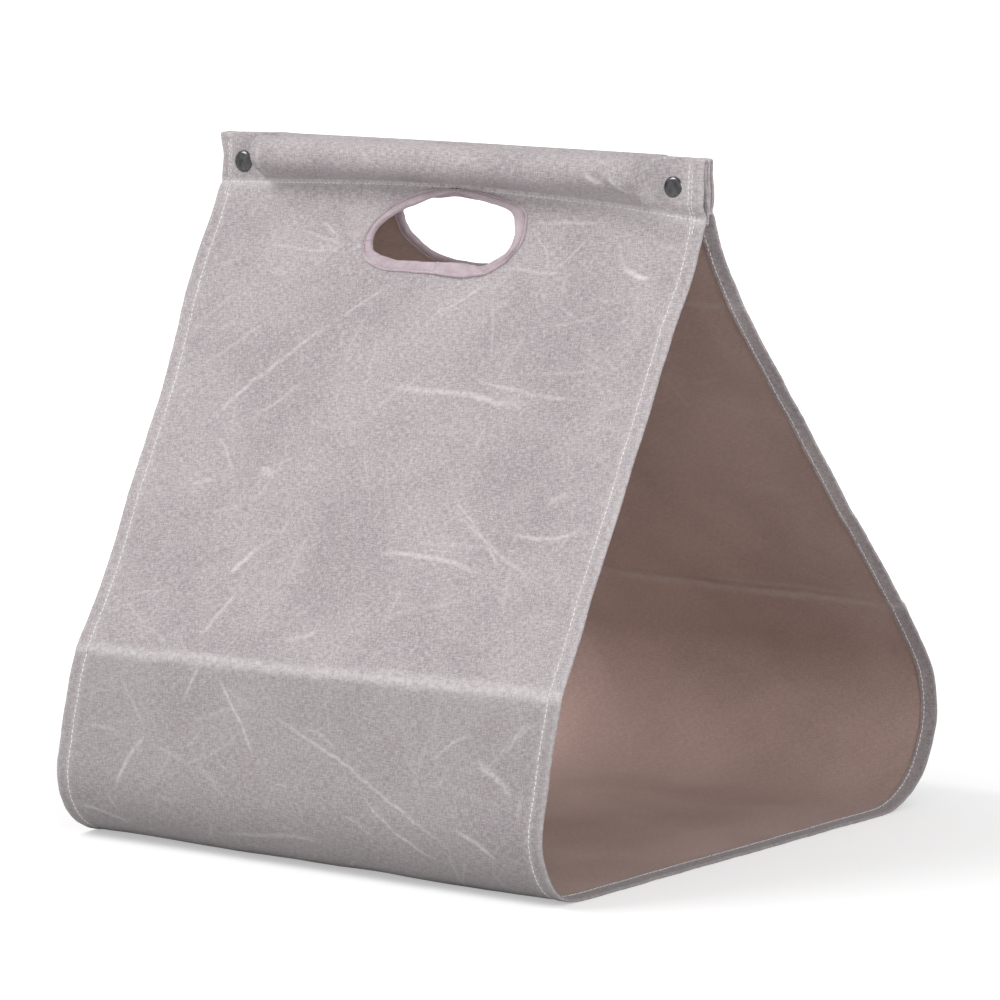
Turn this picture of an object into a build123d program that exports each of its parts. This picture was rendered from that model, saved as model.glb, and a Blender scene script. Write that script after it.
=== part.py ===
from build123d import *

import math
import os

# Log carrier: one strip of waxed canvas hangs in a sling from two dowels.
# X runs along the ridge, the front wall faces -Y and +Z is up.
# The origin is on the floor, in the middle of the base. All sizes are in millimetres.

# The strip of cloth
cloth_width = 400.0
cloth_thickness = 1.2
hem_width = 12.0
hem_layers = 2
fold_gap = 0.3

# The side view of the sling, measured to the outer face of the cloth
base_reach = 229.0
ridge_lean = 51.0
seam_height = 431.0
front_corner_radius = 42.0
front_crease_inset = 24.0
front_crease_height = 133.0
front_bend_from_ridge = 29.0
back_corner_radius = 64.0
back_crease_inset = 47.0
back_crease_height = 147.0
back_bend_from_ridge = 45.0
bend_radius = 25.0
bend_below_tape = 7.5
fold_angle_on_corner = 45.0

# The dowels and the sleeves that hold them
dowel_radius = 10.0
dowel_edge_round = 1.5
dowel_clearance = 0.3
sleeve_gap = 0.6
sleeve_rise = 30.0
sleeve_seam_zone = 4.0
sleeve_pinch_length = 11.0
layer_slit = 0.4

# The hand holes and their binding tape
hand_hole_width = 112.0
hand_hole_height = 46.0
hand_hole_top_width = 88.0
hand_hole_crown = 4.0
hand_hole_low_corner = 19.0
hand_hole_high_corner = 15.0
hand_hole_offset = -4.0
tape_below_seam = 1.5
tape_cover = 7.0
tape_thickness = 0.8
tape_clearance = 0.1
tape_edge = 1.0

# The press studs
snap_inset = 21.5
snap_above_seam = 11.0
flat_beside_cap = 0.8
cap_radius = 7.4
cap_rise = 1.7
cap_rim = 0.7
cap_shank_radius = 2.2
shank_clearance = 0.1
socket_radius = 6.2
socket_height = 3.2
socket_base = 0.8
socket_mouth_radius = 4.0
socket_gap = 0.3
spring_wire_radius = 0.3
spring_ring_radius = 3.2
stud_base_radius = 5.6
stud_base_height = 1.0
stud_neck_radius = 2.6
stud_head_radius = 3.2
stud_head_height = 1.1
stud_depth_in_socket = 1.6
post_flange_radius = 5.2
post_flange_height = 0.8

# Worked out from the sizes above
half_width = cloth_width / 2
half_gap = fold_gap / 2
fold_angle = -math.radians(fold_angle_on_corner)
tube_radius = dowel_radius + dowel_clearance + cloth_thickness
cavity_radius = dowel_radius + dowel_clearance
sleeve_thickness = 2 * cloth_thickness + layer_slit
sleeve_top = seam_height + sleeve_rise
tube_height = sleeve_top - tube_radius
tube_offset = tube_radius + sleeve_gap / 2
snap_stack = socket_height + socket_gap + stud_base_height
sleeve_inner_offset = snap_stack / 2
sleeve_outer_offset = sleeve_inner_offset + sleeve_thickness
snap_x = half_width - snap_inset
snap_z = seam_height + snap_above_seam
tube_end = snap_x - cap_radius - flat_beside_cap - sleeve_pinch_length
dowel_length = 2 * (tube_end - dowel_clearance)
hand_hole_below_seam = tape_below_seam + tape_cover
bend_height = seam_height - hand_hole_below_seam - hand_hole_height - tape_cover - bend_below_tape


class Side:
    """One wall of the sling. Outward is away from the middle of the base, and sign turns it into Y."""

    def __init__(self, name, sign, radius, crease_inset, crease_height, bend_from_ridge):
        self.name = name
        self.sign = sign
        self.radius = radius
        self.ridge = -sign * ridge_lean
        self.corner = (base_reach - radius, radius)
        self.crease = (base_reach - crease_inset, crease_height)
        self.bend = (self.ridge + bend_from_ridge, bend_height)
        self.seam = (self.ridge + sleeve_outer_offset, seam_height)

    def point(self, outward, height):
        """The sketch point of the YZ plane at this distance outward and this height."""
        return (self.sign * outward, height)


front = Side(
    "front", -1, front_corner_radius, front_crease_inset, front_crease_height, front_bend_from_ridge,
)
back = Side(
    "back", 1, back_corner_radius, back_crease_inset, back_crease_height, back_bend_from_ridge,
)


def unit(start, end):
    """The direction from one point to the other, one long."""
    length = math.dist(start, end)
    return ((end[0] - start[0]) / length, (end[1] - start[1]) / length)


def turned_left(direction):
    """The direction a quarter turn to the left, which is the inside of the sling."""
    return (-direction[1], direction[0])


def moved(point, direction, distance):
    """The point moved along a direction."""
    return (point[0] + direction[0] * distance, point[1] + direction[1] * distance)


def on_circle(centre, radius, angle):
    """The point of a circle at an angle in radians."""
    return (centre[0] + radius * math.cos(angle), centre[1] + radius * math.sin(angle))


def tangent_angle(point, centre, radius, turn):
    """The angle on a circle where the line from an outside point touches it, on the side that turn names."""
    towards_point = math.atan2(point[1] - centre[1], point[0] - centre[0])
    return towards_point + turn * math.acos(radius / math.dist(point, centre))


class Straight:
    """A straight run of cloth. Its ends can be cut on a slant, so two runs meet on a mitre."""

    def __init__(self, start, end, start_cut=None, end_cut=None):
        self.along = unit(start, end)
        self.inward = turned_left(self.along)
        self.start = start
        self.end = end
        self.start_cut = start_cut or self.inward
        self.end_cut = end_cut or self.inward

    def at_depth(self, depth):
        """The same run at a depth below the outer face, as its two ends."""
        ends = []
        for point, cut in ((self.start, self.start_cut), (self.end, self.end_cut)):
            across = cut[0] * self.inward[0] + cut[1] * self.inward[1]
            ends.append(moved(point, cut, depth / across))
        return (ends[0], None, ends[1])


class Round:
    """A round run of cloth about a centre, which lies inside (side 1) or outside (side -1) of the sling."""

    def __init__(self, centre, radius, start_angle, end_angle, side=1):
        self.centre = centre
        self.radius = radius
        self.angles = (start_angle, (start_angle + end_angle) / 2, end_angle)
        self.side = side

    def at_depth(self, depth):
        """The same run at a depth below the outer face, as its start, middle and end."""
        return tuple(on_circle(self.centre, self.radius - self.side * depth, a) for a in self.angles)


def edge_of(side, points):
    """One sketch edge from a run's points: a line, or an arc if it has a middle."""
    start, middle, end = (None if p is None else side.point(*p) for p in points)
    if middle is None:
        return Line(start, end)
    return ThreePointArc(start, middle, end)


def strip_section(side, runs, depth):
    """The cut face of the cloth along its runs, from the outer face to a depth."""
    outer = [run.at_depth(0) for run in runs]
    inner = [run.at_depth(depth) for run in runs]
    edges = [edge_of(side, points) for points in outer + inner]
    edges.append(Line(side.point(*outer[0][0]), side.point(*inner[0][0])))
    edges.append(Line(side.point(*outer[-1][2]), side.point(*inner[-1][2])))
    return make_face(edges)


def spread_along_ridge(section, start, end):
    """A YZ section made solid from one X to another."""
    return extrude(Plane.YZ.offset(start) * section, amount=end - start)


def hemmed_panel(side, runs):
    """A panel of cloth with its two side edges folded to the inside and sewn down."""
    single = strip_section(side, runs, cloth_thickness)
    hemmed = strip_section(side, runs, hem_layers * cloth_thickness)
    panel = spread_along_ridge(single, -half_width, half_width)
    panel += spread_along_ridge(hemmed, -half_width, hem_width - half_width)
    panel += spread_along_ridge(hemmed, half_width - hem_width, half_width)
    return panel


def mitre(lower, corner, upper):
    """The direction to the inside that halves the corner between two straight runs."""
    first = turned_left(unit(lower, corner))
    second = turned_left(unit(corner, upper))
    return unit((0, 0), (first[0] + second[0], first[1] + second[1]))


def corner_top_angle(side):
    """The angle on the bottom corner where the lower wall leaves it."""
    return tangent_angle(side.crease, side.corner, side.radius, -1)


def floor_panel():
    """The floor with the lower half of each bottom corner."""
    front_centre = (-front.corner[0], front.corner[1])
    front_fold = -math.pi - fold_angle + half_gap / front.radius
    back_fold = fold_angle - half_gap / back.radius
    runs = [
        Round(front_centre, front.radius, front_fold, -math.pi / 2),
        Straight((front_centre[0], 0), (back.corner[0], 0)),
        Round(back.corner, back.radius, -math.pi / 2, back_fold),
    ]
    return hemmed_panel(back, runs)


def lower_panel(side):
    """The upper half of the bottom corner and the wall up to its crease."""
    top = corner_top_angle(side)
    leaves = on_circle(side.corner, side.radius, top)
    along = unit(leaves, side.crease)
    runs = [
        Round(side.corner, side.radius, fold_angle + half_gap / side.radius, top),
        Straight(
            leaves, moved(side.crease, along, -half_gap), end_cut=mitre(leaves, side.crease, side.bend),
        ),
    ]
    return hemmed_panel(side, runs)


def upper_runs(side):
    """The wall from its crease, round the soft bend under the hand hole, to the sleeve's seam."""
    top = corner_top_angle(side)
    leaves = on_circle(side.corner, side.radius, top)
    rising = unit(side.crease, side.bend)
    steeper = unit(side.bend, side.seam)
    turn = math.atan2(rising[1], rising[0]) - math.atan2(steeper[1], steeper[0])
    trim = bend_radius * math.tan(turn / 2)
    bend_start = moved(side.bend, rising, -trim)
    bend_centre = moved(bend_start, turned_left(rising), -bend_radius)
    start_angle = math.atan2(rising[1], rising[0]) + math.pi / 2
    wall_top = moved(side.seam, steeper, -fold_gap / steeper[1])
    return [
        Straight(
            moved(side.crease, rising, half_gap), bend_start, start_cut=mitre(leaves, side.crease, side.bend),
        ),
        Round(bend_centre, bend_radius, start_angle, start_angle - turn, side=-1),
        Straight(moved(side.bend, steeper, trim), wall_top, end_cut=(-1.0, 0.0)),
    ]


def hand_hole_plane(side):
    """The flat of the wall's outer face at the middle of the hand hole, with its own Y up the wall."""
    upward = unit(side.bend, side.seam)
    below_seam = hand_hole_below_seam + hand_hole_height / 2
    centre = moved(side.seam, upward, -below_seam)
    outward = (upward[1], -upward[0])
    return Plane(
        origin=(hand_hole_offset, *side.point(*centre)),
        x_dir=(-side.sign, 0, 0),
        z_dir=(0, *side.point(*outward)),
    )


def arc_edge(centre, radius, start_angle, end_angle):
    """An arc of a circle between two angles in radians."""
    middle = (start_angle + end_angle) / 2
    return ThreePointArc(*(on_circle(centre, radius, a) for a in (start_angle, middle, end_angle)))


def hand_hole_outline():
    """The clear opening, all tangent: a straight foot, round corners, slanted sides and a crowned top."""
    foot = -hand_hole_height / 2
    low = (hand_hole_width / 2 - hand_hole_low_corner, foot + hand_hole_low_corner)
    shoulder = hand_hole_height / 2 - hand_hole_crown - hand_hole_high_corner
    high = (hand_hole_top_width / 2 - hand_hole_high_corner, shoulder)
    drop = hand_hole_crown + hand_hole_high_corner
    crown_radius = (high[0] ** 2 + drop ** 2 - hand_hole_high_corner ** 2) / (2 * hand_hole_crown)
    crown_centre = (0, hand_hole_height / 2 - crown_radius)
    rising = math.atan2(high[1] - low[1], high[0] - low[0])
    spread = math.acos((hand_hole_low_corner - hand_hole_high_corner) / math.dist(low, high))
    side_angle = rising - spread
    crown_angle = math.atan2(high[1] - crown_centre[1], high[0])
    right_half = [
        Line((0, foot), (low[0], foot)),
        arc_edge(low, hand_hole_low_corner, -math.pi / 2, side_angle),
        Line(
            on_circle(low, hand_hole_low_corner, side_angle),
            on_circle(high, hand_hole_high_corner, side_angle),
        ),
        arc_edge(high, hand_hole_high_corner, side_angle, crown_angle),
        arc_edge(crown_centre, crown_radius, crown_angle, math.pi / 2),
    ]
    return make_face(right_half + [mirror(edge, Plane.YZ) for edge in right_half])


def hole_prism(side, growth, start, end):
    """The hand hole grown by a distance, as a solid between two heights above the wall's outer face."""
    outline = offset(hand_hole_outline(), amount=growth) if growth else hand_hole_outline()
    return extrude(hand_hole_plane(side).offset(start) * outline, amount=end - start)


def upper_panel(side):
    """The wall above the crease, with the hand hole cut through it."""
    panel = hemmed_panel(side, upper_runs(side))
    cut_edge = tape_edge + tape_clearance
    return panel - hole_prism(side, cut_edge, -2 * hem_width, hem_width)


def hole_binding(side):
    """The tape folded over the edge of the hand hole."""
    wall_inside = -cloth_thickness - tape_clearance
    tape = hole_prism(side, tape_cover, wall_inside - tape_thickness, tape_clearance + tape_thickness)
    tape -= hole_prism(side, 0, -hem_width, hem_width)
    groove = hole_prism(side, tape_cover + tape_edge, wall_inside, tape_clearance)
    groove -= hole_prism(side, tape_edge, -hem_width, hem_width)
    return tape - groove


def sleeve_outline(side, seam_z, seam_low, seam_high, centre, radius):
    """A drop shape: two short upright lines at the seam, two slanted ones, and two arcs over the top."""
    left_angle = tangent_angle((seam_low, seam_z), centre, radius, -1)
    right_angle = tangent_angle((seam_high, seam_z), centre, radius, 1)
    left = on_circle(centre, radius, left_angle)
    right = on_circle(centre, radius, right_angle)
    top = (centre[0], centre[1] + radius)
    left_middle = on_circle(centre, radius, (left_angle % math.tau + math.pi / 2) / 2)
    right_middle = on_circle(centre, radius, (right_angle + math.pi / 2) / 2)
    runs = [
        ((seam_low, seam_z), None, left),
        (left, left_middle, top),
        (top, right_middle, right),
        (right, None, (seam_high, seam_z)),
        ((seam_high, seam_z), None, (seam_low, seam_z)),
    ]
    return make_face([edge_of(side, run) for run in runs])


def sleeve_form(side, seam_z, half_seam, tube_r, flat_r):
    """A sleeve's solid form: a round tube over the dowel, drawn in to a flat at both ends."""
    middle = side.ridge + sleeve_inner_offset + sleeve_thickness / 2
    tube_centre = (side.ridge + tube_offset, tube_height)
    flat_centre = (middle, tube_height + tube_r - flat_r)
    tube = sleeve_outline(side, seam_z, middle - half_seam, middle + half_seam, tube_centre, tube_r)
    flat = sleeve_outline(side, seam_z, middle - half_seam, middle + half_seam, flat_centre, flat_r)
    pinch = tube_end + sleeve_pinch_length
    form = spread_along_ridge(tube, -tube_end, tube_end)
    for end in (-1, 1):
        round_end = Plane.YZ.offset(end * tube_end) * tube
        flat_end = Plane.YZ.offset(end * pinch) * flat
        form += loft([round_end, flat_end], ruled=True)
        form += spread_along_ridge(flat, end * pinch, end * half_width)
    return form


def sleeve(side):
    """The top of the wall, folded over the dowel and sewn down along the seam."""
    outer = sleeve_form(side, seam_height, sleeve_thickness / 2, tube_radius, sleeve_thickness / 2)
    inner = sleeve_form(
        side, seam_height + sleeve_seam_zone, layer_slit / 2, cavity_radius, layer_slit / 2,
    )
    body = outer - inner
    for end in (-1, 1):
        body -= round_bar(
            side, end * snap_x, cap_shank_radius + shank_clearance,
            sleeve_inner_offset - cloth_thickness, sleeve_outer_offset + cloth_thickness,
        )
    return body


def dowel(side):
    """The wooden dowel inside a sleeve."""
    centre = (0, *side.point(side.ridge + tube_offset, tube_height))
    bar = Pos(*centre) * Rot(0, 90, 0) * Cylinder(dowel_radius, dowel_length)
    return chamfer(bar.edges().filter_by(GeomType.CIRCLE), dowel_edge_round)


def snap_plane(side, x, from_ridge):
    """A plane square to the press stud's axis, at a distance outward from the ridge's middle plane."""
    y, z = side.point(side.ridge + from_ridge, snap_z)
    return Plane(origin=(x, y, z), x_dir=(1, 0, 0), z_dir=(0, side.sign, 0))


def round_bar(side, x, radius, start, end):
    """A round bar on the press stud's axis, between two distances outward from the ridge."""
    return extrude(snap_plane(side, x, start) * Circle(radius), amount=end - start)


def snap_cap(x):
    """The domed cap on the front face, with its shank through the front sleeve."""
    face = sleeve_outer_offset
    rim = round_bar(front, x, cap_radius, face, face + cap_rim)
    dome_section = make_face([
        Line((0, 0), (cap_radius, 0)),
        ThreePointArc((cap_radius, 0), (cap_radius * 0.7, cap_rise * 0.35), (0, cap_rise - cap_rim)),
        Line((0, cap_rise - cap_rim), (0, 0)),
    ])
    profile_plane = Plane(
        origin=snap_plane(front, x, face + cap_rim).origin, x_dir=(1, 0, 0), z_dir=(0, 0, 1),
    )
    dome = revolve(profile_plane * mirror(dome_section, Plane.XZ), Axis(profile_plane.origin, (0, 1, 0)))
    shank = round_bar(front, x, cap_shank_radius, sleeve_inner_offset - socket_base, face)
    return rim + dome + shank


def snap_socket(x):
    """The socket on the inside of the front sleeve: a cup whose mouth faces the back sleeve."""
    base = sleeve_inner_offset
    mouth = base - socket_height
    cup = round_bar(front, x, socket_radius, mouth, base)
    cup -= round_bar(front, x, socket_mouth_radius, mouth, base - socket_base)
    return cup - round_bar(front, x, cap_shank_radius + shank_clearance, mouth, base)


def snap_spring(x):
    """The ring spring that grips the stud's neck, near the socket's mouth."""
    mouth = sleeve_inner_offset - socket_height
    plane = snap_plane(front, x, mouth + spring_wire_radius + shank_clearance)
    return plane * Torus(spring_ring_radius, spring_wire_radius)


def snap_stud(x):
    """The stud on the inside of the back sleeve, with its head in the socket."""
    base = sleeve_inner_offset
    top = base - stud_base_height
    head_end = top - socket_gap - stud_depth_in_socket
    stud = round_bar(back, x, stud_base_radius, top, base)
    stud += round_bar(back, x, stud_neck_radius, head_end, top)
    head = round_bar(back, x, stud_head_radius, head_end, head_end + stud_head_height)
    stud += chamfer(head.edges().filter_by(GeomType.CIRCLE), stud_head_radius - stud_neck_radius - 0.1)
    return stud - round_bar(back, x, cap_shank_radius + shank_clearance, top + socket_gap, base)


def snap_post(x):
    """The post that holds the stud: a flat flange on the back face and a shank through the sleeve."""
    face = sleeve_outer_offset
    flange = round_bar(back, x, post_flange_radius, face, face + post_flange_height)
    inner_end = sleeve_inner_offset - stud_base_height + socket_gap + shank_clearance
    return flange + round_bar(back, x, cap_shank_radius, inner_end, face)


def build_parts():
    """Every node of the model, by name."""
    parts = {"floor_panel": floor_panel()}
    for side in (front, back):
        parts[f"{side.name}_lower_panel"] = lower_panel(side)
        parts[f"{side.name}_upper_panel"] = upper_panel(side)
        parts[f"{side.name}_hole_binding"] = hole_binding(side)
        parts[f"{side.name}_sleeve"] = sleeve(side)
        parts[f"{side.name}_dowel"] = dowel(side)
    for hand, x in (("left", -snap_x), ("right", snap_x)):
        parts[f"snap_cap_{hand}"] = snap_cap(x)
        parts[f"snap_socket_{hand}"] = snap_socket(x)
        parts[f"snap_spring_{hand}"] = snap_spring(x)
        parts[f"snap_stud_{hand}"] = snap_stud(x)
        parts[f"snap_post_{hand}"] = snap_post(x)
    return parts


os.makedirs("parts", exist_ok=True)
for node, solid in build_parts().items():
    export_step(solid, f"parts/{node}.step")
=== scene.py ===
"""Log carrier of waxed canvas: the cloth, thread, tape, press studs and wood round its fixed frame."""

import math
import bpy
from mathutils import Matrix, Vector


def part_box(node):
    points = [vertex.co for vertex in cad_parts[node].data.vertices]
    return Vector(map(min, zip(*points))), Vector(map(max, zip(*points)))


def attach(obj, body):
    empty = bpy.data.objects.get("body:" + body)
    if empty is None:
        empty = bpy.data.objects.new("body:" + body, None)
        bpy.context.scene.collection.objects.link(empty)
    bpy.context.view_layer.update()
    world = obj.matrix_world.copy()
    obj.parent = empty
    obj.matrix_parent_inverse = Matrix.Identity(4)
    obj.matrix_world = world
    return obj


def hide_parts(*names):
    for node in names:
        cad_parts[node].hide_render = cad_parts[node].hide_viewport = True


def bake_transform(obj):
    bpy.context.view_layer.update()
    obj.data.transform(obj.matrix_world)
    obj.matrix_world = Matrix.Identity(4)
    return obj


bl_info = {
    "name": "Log Carrier",
    "version": (1, 0, 0),
    "blender": (4, 5, 0),
    "location": "3D View > Sidebar > Log Carrier",
    "description": "Makes a canvas log carrier with hems, sleeves, hand holes and press studs",
    "category": "Object",
}

import bpy
import numpy as np
from mathutils import Matrix

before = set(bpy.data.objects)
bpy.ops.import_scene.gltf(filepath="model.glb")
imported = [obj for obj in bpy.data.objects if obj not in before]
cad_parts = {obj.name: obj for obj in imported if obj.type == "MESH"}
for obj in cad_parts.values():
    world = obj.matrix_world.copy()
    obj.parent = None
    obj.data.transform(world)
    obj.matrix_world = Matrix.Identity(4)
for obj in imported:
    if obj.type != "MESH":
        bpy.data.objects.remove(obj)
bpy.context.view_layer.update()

MM = 0.001

# Sizes read from the frame, in metres
_, FLOOR_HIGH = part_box("floor_panel")
SLEEVE_LOW, SLEEVE_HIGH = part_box("front_sleeve")
DOWEL_LOW, DOWEL_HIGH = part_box("front_dowel")
CAP_LOW, CAP_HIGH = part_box("snap_cap_right")
HALF_WIDTH = FLOOR_HIGH.x
SEAM_HEIGHT = SLEEVE_LOW.z
SLEEVE_TOP = SLEEVE_HIGH.z
DOWEL_RADIUS = (DOWEL_HIGH.z - DOWEL_LOW.z) / 2
CAP_RADIUS = (CAP_HIGH.x - CAP_LOW.x) / 2
CAP_ACROSS = (CAP_HIGH.x + CAP_LOW.x) / 2
CAP_HEIGHT = (CAP_HIGH.z + CAP_LOW.z) / 2

# The side view of the sling. Outward is away from the middle of the base.
BASE_REACH = 229 * MM
RIDGE_LEAN = 51 * MM
RIDGE_TO_TUBE = 11.8 * MM
RIDGE_TO_OUTER_FACE = 5.05 * MM
RIDGE_TO_INNER_FACE = 2.25 * MM
BIG_STEP = 2.5 * MM
PROFILE_STEP = 0.5 * MM
PROFILE_SOFTNESS = 3.5 * MM
CORNER_POINTS = 80
SPARE_ABOVE_SEAM = 30 * MM
ARCH_ZONE = 60 * MM
LEFT_PINCH = (157.5 * MM, 164.5 * MM)
RIGHT_PINCH = (157 * MM, 170 * MM)
CREASE_DROP = 4 * MM
CREASE_TILT = 1.1
# Between these two places across, the cloth goes from one layer to the two of its hem
HEM_STEP = (HALF_WIDTH - 16 * MM, HALF_WIDTH - 11 * MM)
HEM_PUSH_IN = 2.05 * MM
TUBE_SLACK = 1.5 * MM
TUBE_LOOSENESS = 0.7 * MM
FLOOR_CLEARED = 5 * MM
LOOP_FLANK_STEPS = 18
LOOP_ARC_STEPS = 36
INNER_LAYER_BELOW_SEAM = 2.5 * MM
HEM_FOLD_STEPS = 5
HEM_CELLS = 10
CLEAR_OF_WALL = 0.3 * MM


def unit(arrows):
    """The arrows, each made one unit long. Their axes are last."""
    return arrows / np.linalg.norm(arrows, axis=-1, keepdims=True)


class WallLine:
    """One wall of the sling: its name, which way it faces, and its side view as points outward and up."""

    def __init__(self, name, faces, corner_radius, crease, bend):
        self.name = name
        self.faces = faces
        self.ridge = -faces * RIDGE_LEAN
        self.corner_radius = corner_radius
        self.corner_start = BASE_REACH - corner_radius
        self.crease = np.array(crease) * MM
        self.bend = np.array(bend) * MM
        self.seam = np.array([self.ridge + RIDGE_TO_OUTER_FACE, SEAM_HEIGHT])
        towards = self.crease - np.array([self.corner_start, corner_radius])
        spread = math.acos(corner_radius / np.hypot(*towards))
        self.corner_end_angle = math.atan2(towards[1], towards[0]) - spread
        self.corner_end = self.on_corner(self.corner_end_angle)
        self.lower_rise = unit(self.crease - self.corner_end)
        self.upper_rise = unit(self.bend - self.crease)
        self.top_rise = unit(self.seam - self.bend)

    def on_corner(self, angle):
        """The point of the bottom corner's circle at each angle."""
        centre = np.array([self.corner_start, self.corner_radius])
        return centre + self.corner_radius * np.stack([np.cos(angle), np.sin(angle)], axis=-1)

    def place(self, outward, height, across=0.0):
        """The point of the frame at this distance outward, height and place along the ridge."""
        return (across, self.faces * outward, height)


FRONT = WallLine("front", -1, 42 * MM, (205, 133), (80, 362))
BACK = WallLine("back", 1, 64 * MM, (182, 147), (-6, 362))
WALLS = (FRONT, BACK)

# How far the real cloth stands off the plain side view at its two edges: (height, distance outward) in mm
LEFT_EDGE_BULGE = {
    "front": (
        (0, 0), (20, 0), (45, 1.5), (75, 4), (110, 4), (133, 0), (170, -3), (230, -0.5), (290, 1.5), (335, 6),
        (355, 9), (375, 7), (395, 2), (415, -1), (431, -1.5), (445, -1), (461, 0),
    ),
    "back": ((0, 0), (60, 2), (147, 0), (250, 2), (340, 3), (380, 1), (415, 0), (461, 0)),
}
RIGHT_EDGE_BULGE = {
    "front": (
        (0, 0), (30, 0), (60, 2), (100, 3), (133, 2), (190, 2.5), (240, 1), (300, 1.6), (340, 3), (360, 3),
        (374, -1), (390, -5), (415, -6), (431, -3), (445, 0), (461, 0),
    ),
    "back": (
        (0, 0), (60, 2), (110, 3.5), (147, 1), (250, -1), (340, -1), (368, 1), (385, -3), (410, -3), (431, 0),
        (461, 0),
    ),
}
# How far the sewn seam of the sleeve runs above or below its level line: (across, rise) in mm
SEAM_RISE = ((-200, -4), (-150, -1.5), (-80, 1.5), (-10, 3), (60, 0.5), (120, -2.5), (168, -6), (200, -9.5))
# How far each free edge of the sleeve is drawn in at its waist: (height, distance) in mm
LEFT_WAIST = ((405, 0), (425, 0.8), (437, 2.4), (446, 3.6), (454, 1), (461, -0.5))
RIGHT_WAIST = ((405, 0), (420, -1), (438, -2.2), (452, -1.2), (461, -2.2))

# The cloth's own folds: where each starts or fades, and how far it stands in or out
BULGE_FADE = 1.6
WAVES_START = (0.12, 0.24)
# The slow waves: (share of the fold depth, size in mm, slant, stretch along the cloth)
WAVES = ((1.5, 95, 0, 1), (0.65, 38, 0.4, 0.8), (0.16, 13, 0, 1))
HAND_PULL_DEPTH = 0.9 * MM
CREASE_WANDER = 1.0 * MM
CREASE_RISE = 1.0 * MM
HEM_DENT = 0.32 * MM
HEM_RISE = 0.28 * MM
HEM_RIPPLE = 0.5 * MM
SEAM_DENT = 0.7 * MM
# Wrinkles at the sleeve's right end, in mm: (depth, place across, height of their middle, slant, half width)
SLEEVE_WRINKLES = ((1.7, 142, 446, 1.3, 3.4), (1.2, 124, 448, 0.9, 3))
EDGE_ZONE = (HALF_WIDTH - 14 * MM, HALF_WIDTH)
EDGE_RIPPLE = 0.35 * MM
# Where the wax is rubbed pale: (how much, half width)
STITCH_WEAR = (0.30, 1.6 * MM)
EDGE_WEAR = (0.38, 1.8 * MM)
SEAM_WEAR = (0.62, 2.1 * MM)
LEFT_FOLD_WEAR = (0.55, 1.6 * MM)
RIGHT_FOLD_WEAR = (0.3, 2.2 * MM)
# Places across of the folds where the dowel ends, and how far the left one slants with its height
LEFT_FOLD = -165.5 * MM
LEFT_FOLD_SLANT = 0.12
RIGHT_FOLD = 163 * MM
# Painted shade below the crease: (how much, where it starts and where it is full, below the crease in mm)
LOW_SHADE = ((0.26, -4, 10), (0.16, 45, 150))
# The hand hole's pulls: (place of the lower corner across in mm, directions of its folds in degrees)
HAND_PULLS = ((-52, (200, 222, 248)), (48, (-62, -25, -4)))
PULL_CORNER_DOWN = 46 * MM


def smooth_rise(value, start, end):
    """0 before start, 1 after end, and a cubic S between them."""
    share = np.clip((value - start) / (end - start), 0, 1)
    return share * share * (3 - 2 * share)


def bell(value, width):
    """A bell curve: 1 at nought, falling off over the width."""
    return np.exp(-0.5 * (value / width) ** 2)


def rubbed(distance, wear):
    """How pale the wax is at a distance from a line of wear: a bell curve of the wear's amount and half
    width."""
    amount, width = wear
    return amount * bell(distance, width)


def eased(points, value, softness):
    """The line through (place, amount) points in mm, averaged over a few places so that it has no corners."""
    places, amounts = np.array(points, float).T * MM
    offsets = np.array([-1.5, -0.75, 0, 0.75, 1.5]) * softness
    weights = bell(offsets, softness)
    total = sum(w * np.interp(value + o, places, amounts) for o, w in zip(offsets, weights))
    return total / weights.sum()


def cloth_noise(across, along, size, seed):
    """Smooth noise from -1 to 1: random heights on a square lattice, joined by cubic S curves both ways."""
    lattice = np.random.default_rng(seed).uniform(-1, 1, (64, 64))
    column = across / size + 31.7
    row = along / size + 17.3
    i, j = np.floor(column).astype(int), np.floor(row).astype(int)
    u, v = smooth_rise(column - i, 0, 1), smooth_rise(row - j, 0, 1)
    low = lattice[i % 64, j % 64] * (1 - u) + lattice[(i + 1) % 64, j % 64] * u
    high = lattice[i % 64, (j + 1) % 64] * (1 - u) + lattice[(i + 1) % 64, (j + 1) % 64] * u
    return low * (1 - v) + high * v


def path_length(points):
    """The distance along a line of points, from its first point. The points' axes are last."""
    steps = np.linalg.norm(np.diff(points, axis=-2), axis=-1)
    return np.concatenate([np.zeros(steps.shape[:-1] + (1,)), np.cumsum(steps, axis=-1)], axis=-1)


def points_at(places, lengths, points):
    """The points of a line at these distances along it, joined straight between its own points."""
    return np.stack([np.interp(places, lengths, values) for values in points.T], axis=-1)


def wall_profile(wall):
    """The outer face in side view, from the middle of the floor to a little past the seam.
    It is a level line, an arc round the corner and straight runs through the crease, the bend and the seam,
    and a bell-shaped running average makes each turn soft. Returns distances along it and its points."""
    arc = wall.on_corner(np.linspace(-math.pi / 2, wall.corner_end_angle, CORNER_POINTS))
    beyond = wall.seam + wall.top_rise * SPARE_ABOVE_SEAM
    points = np.vstack([[[0, 0]], arc, [wall.crease, wall.bend, beyond]])
    lengths = path_length(points)
    fine = np.arange(0, lengths[-1], PROFILE_STEP)
    reach = int(4 * PROFILE_SOFTNESS / PROFILE_STEP)
    weights = bell(np.arange(-reach, reach + 1) * PROFILE_STEP, PROFILE_SOFTNESS)
    weights /= weights.sum()
    soft = np.stack([
        np.convolve(np.pad(line, reach, "reflect", reflect_type="odd"), weights, "valid")
        for line in points_at(fine, lengths, points).T
    ], axis=1)
    return path_length(soft), soft


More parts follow.
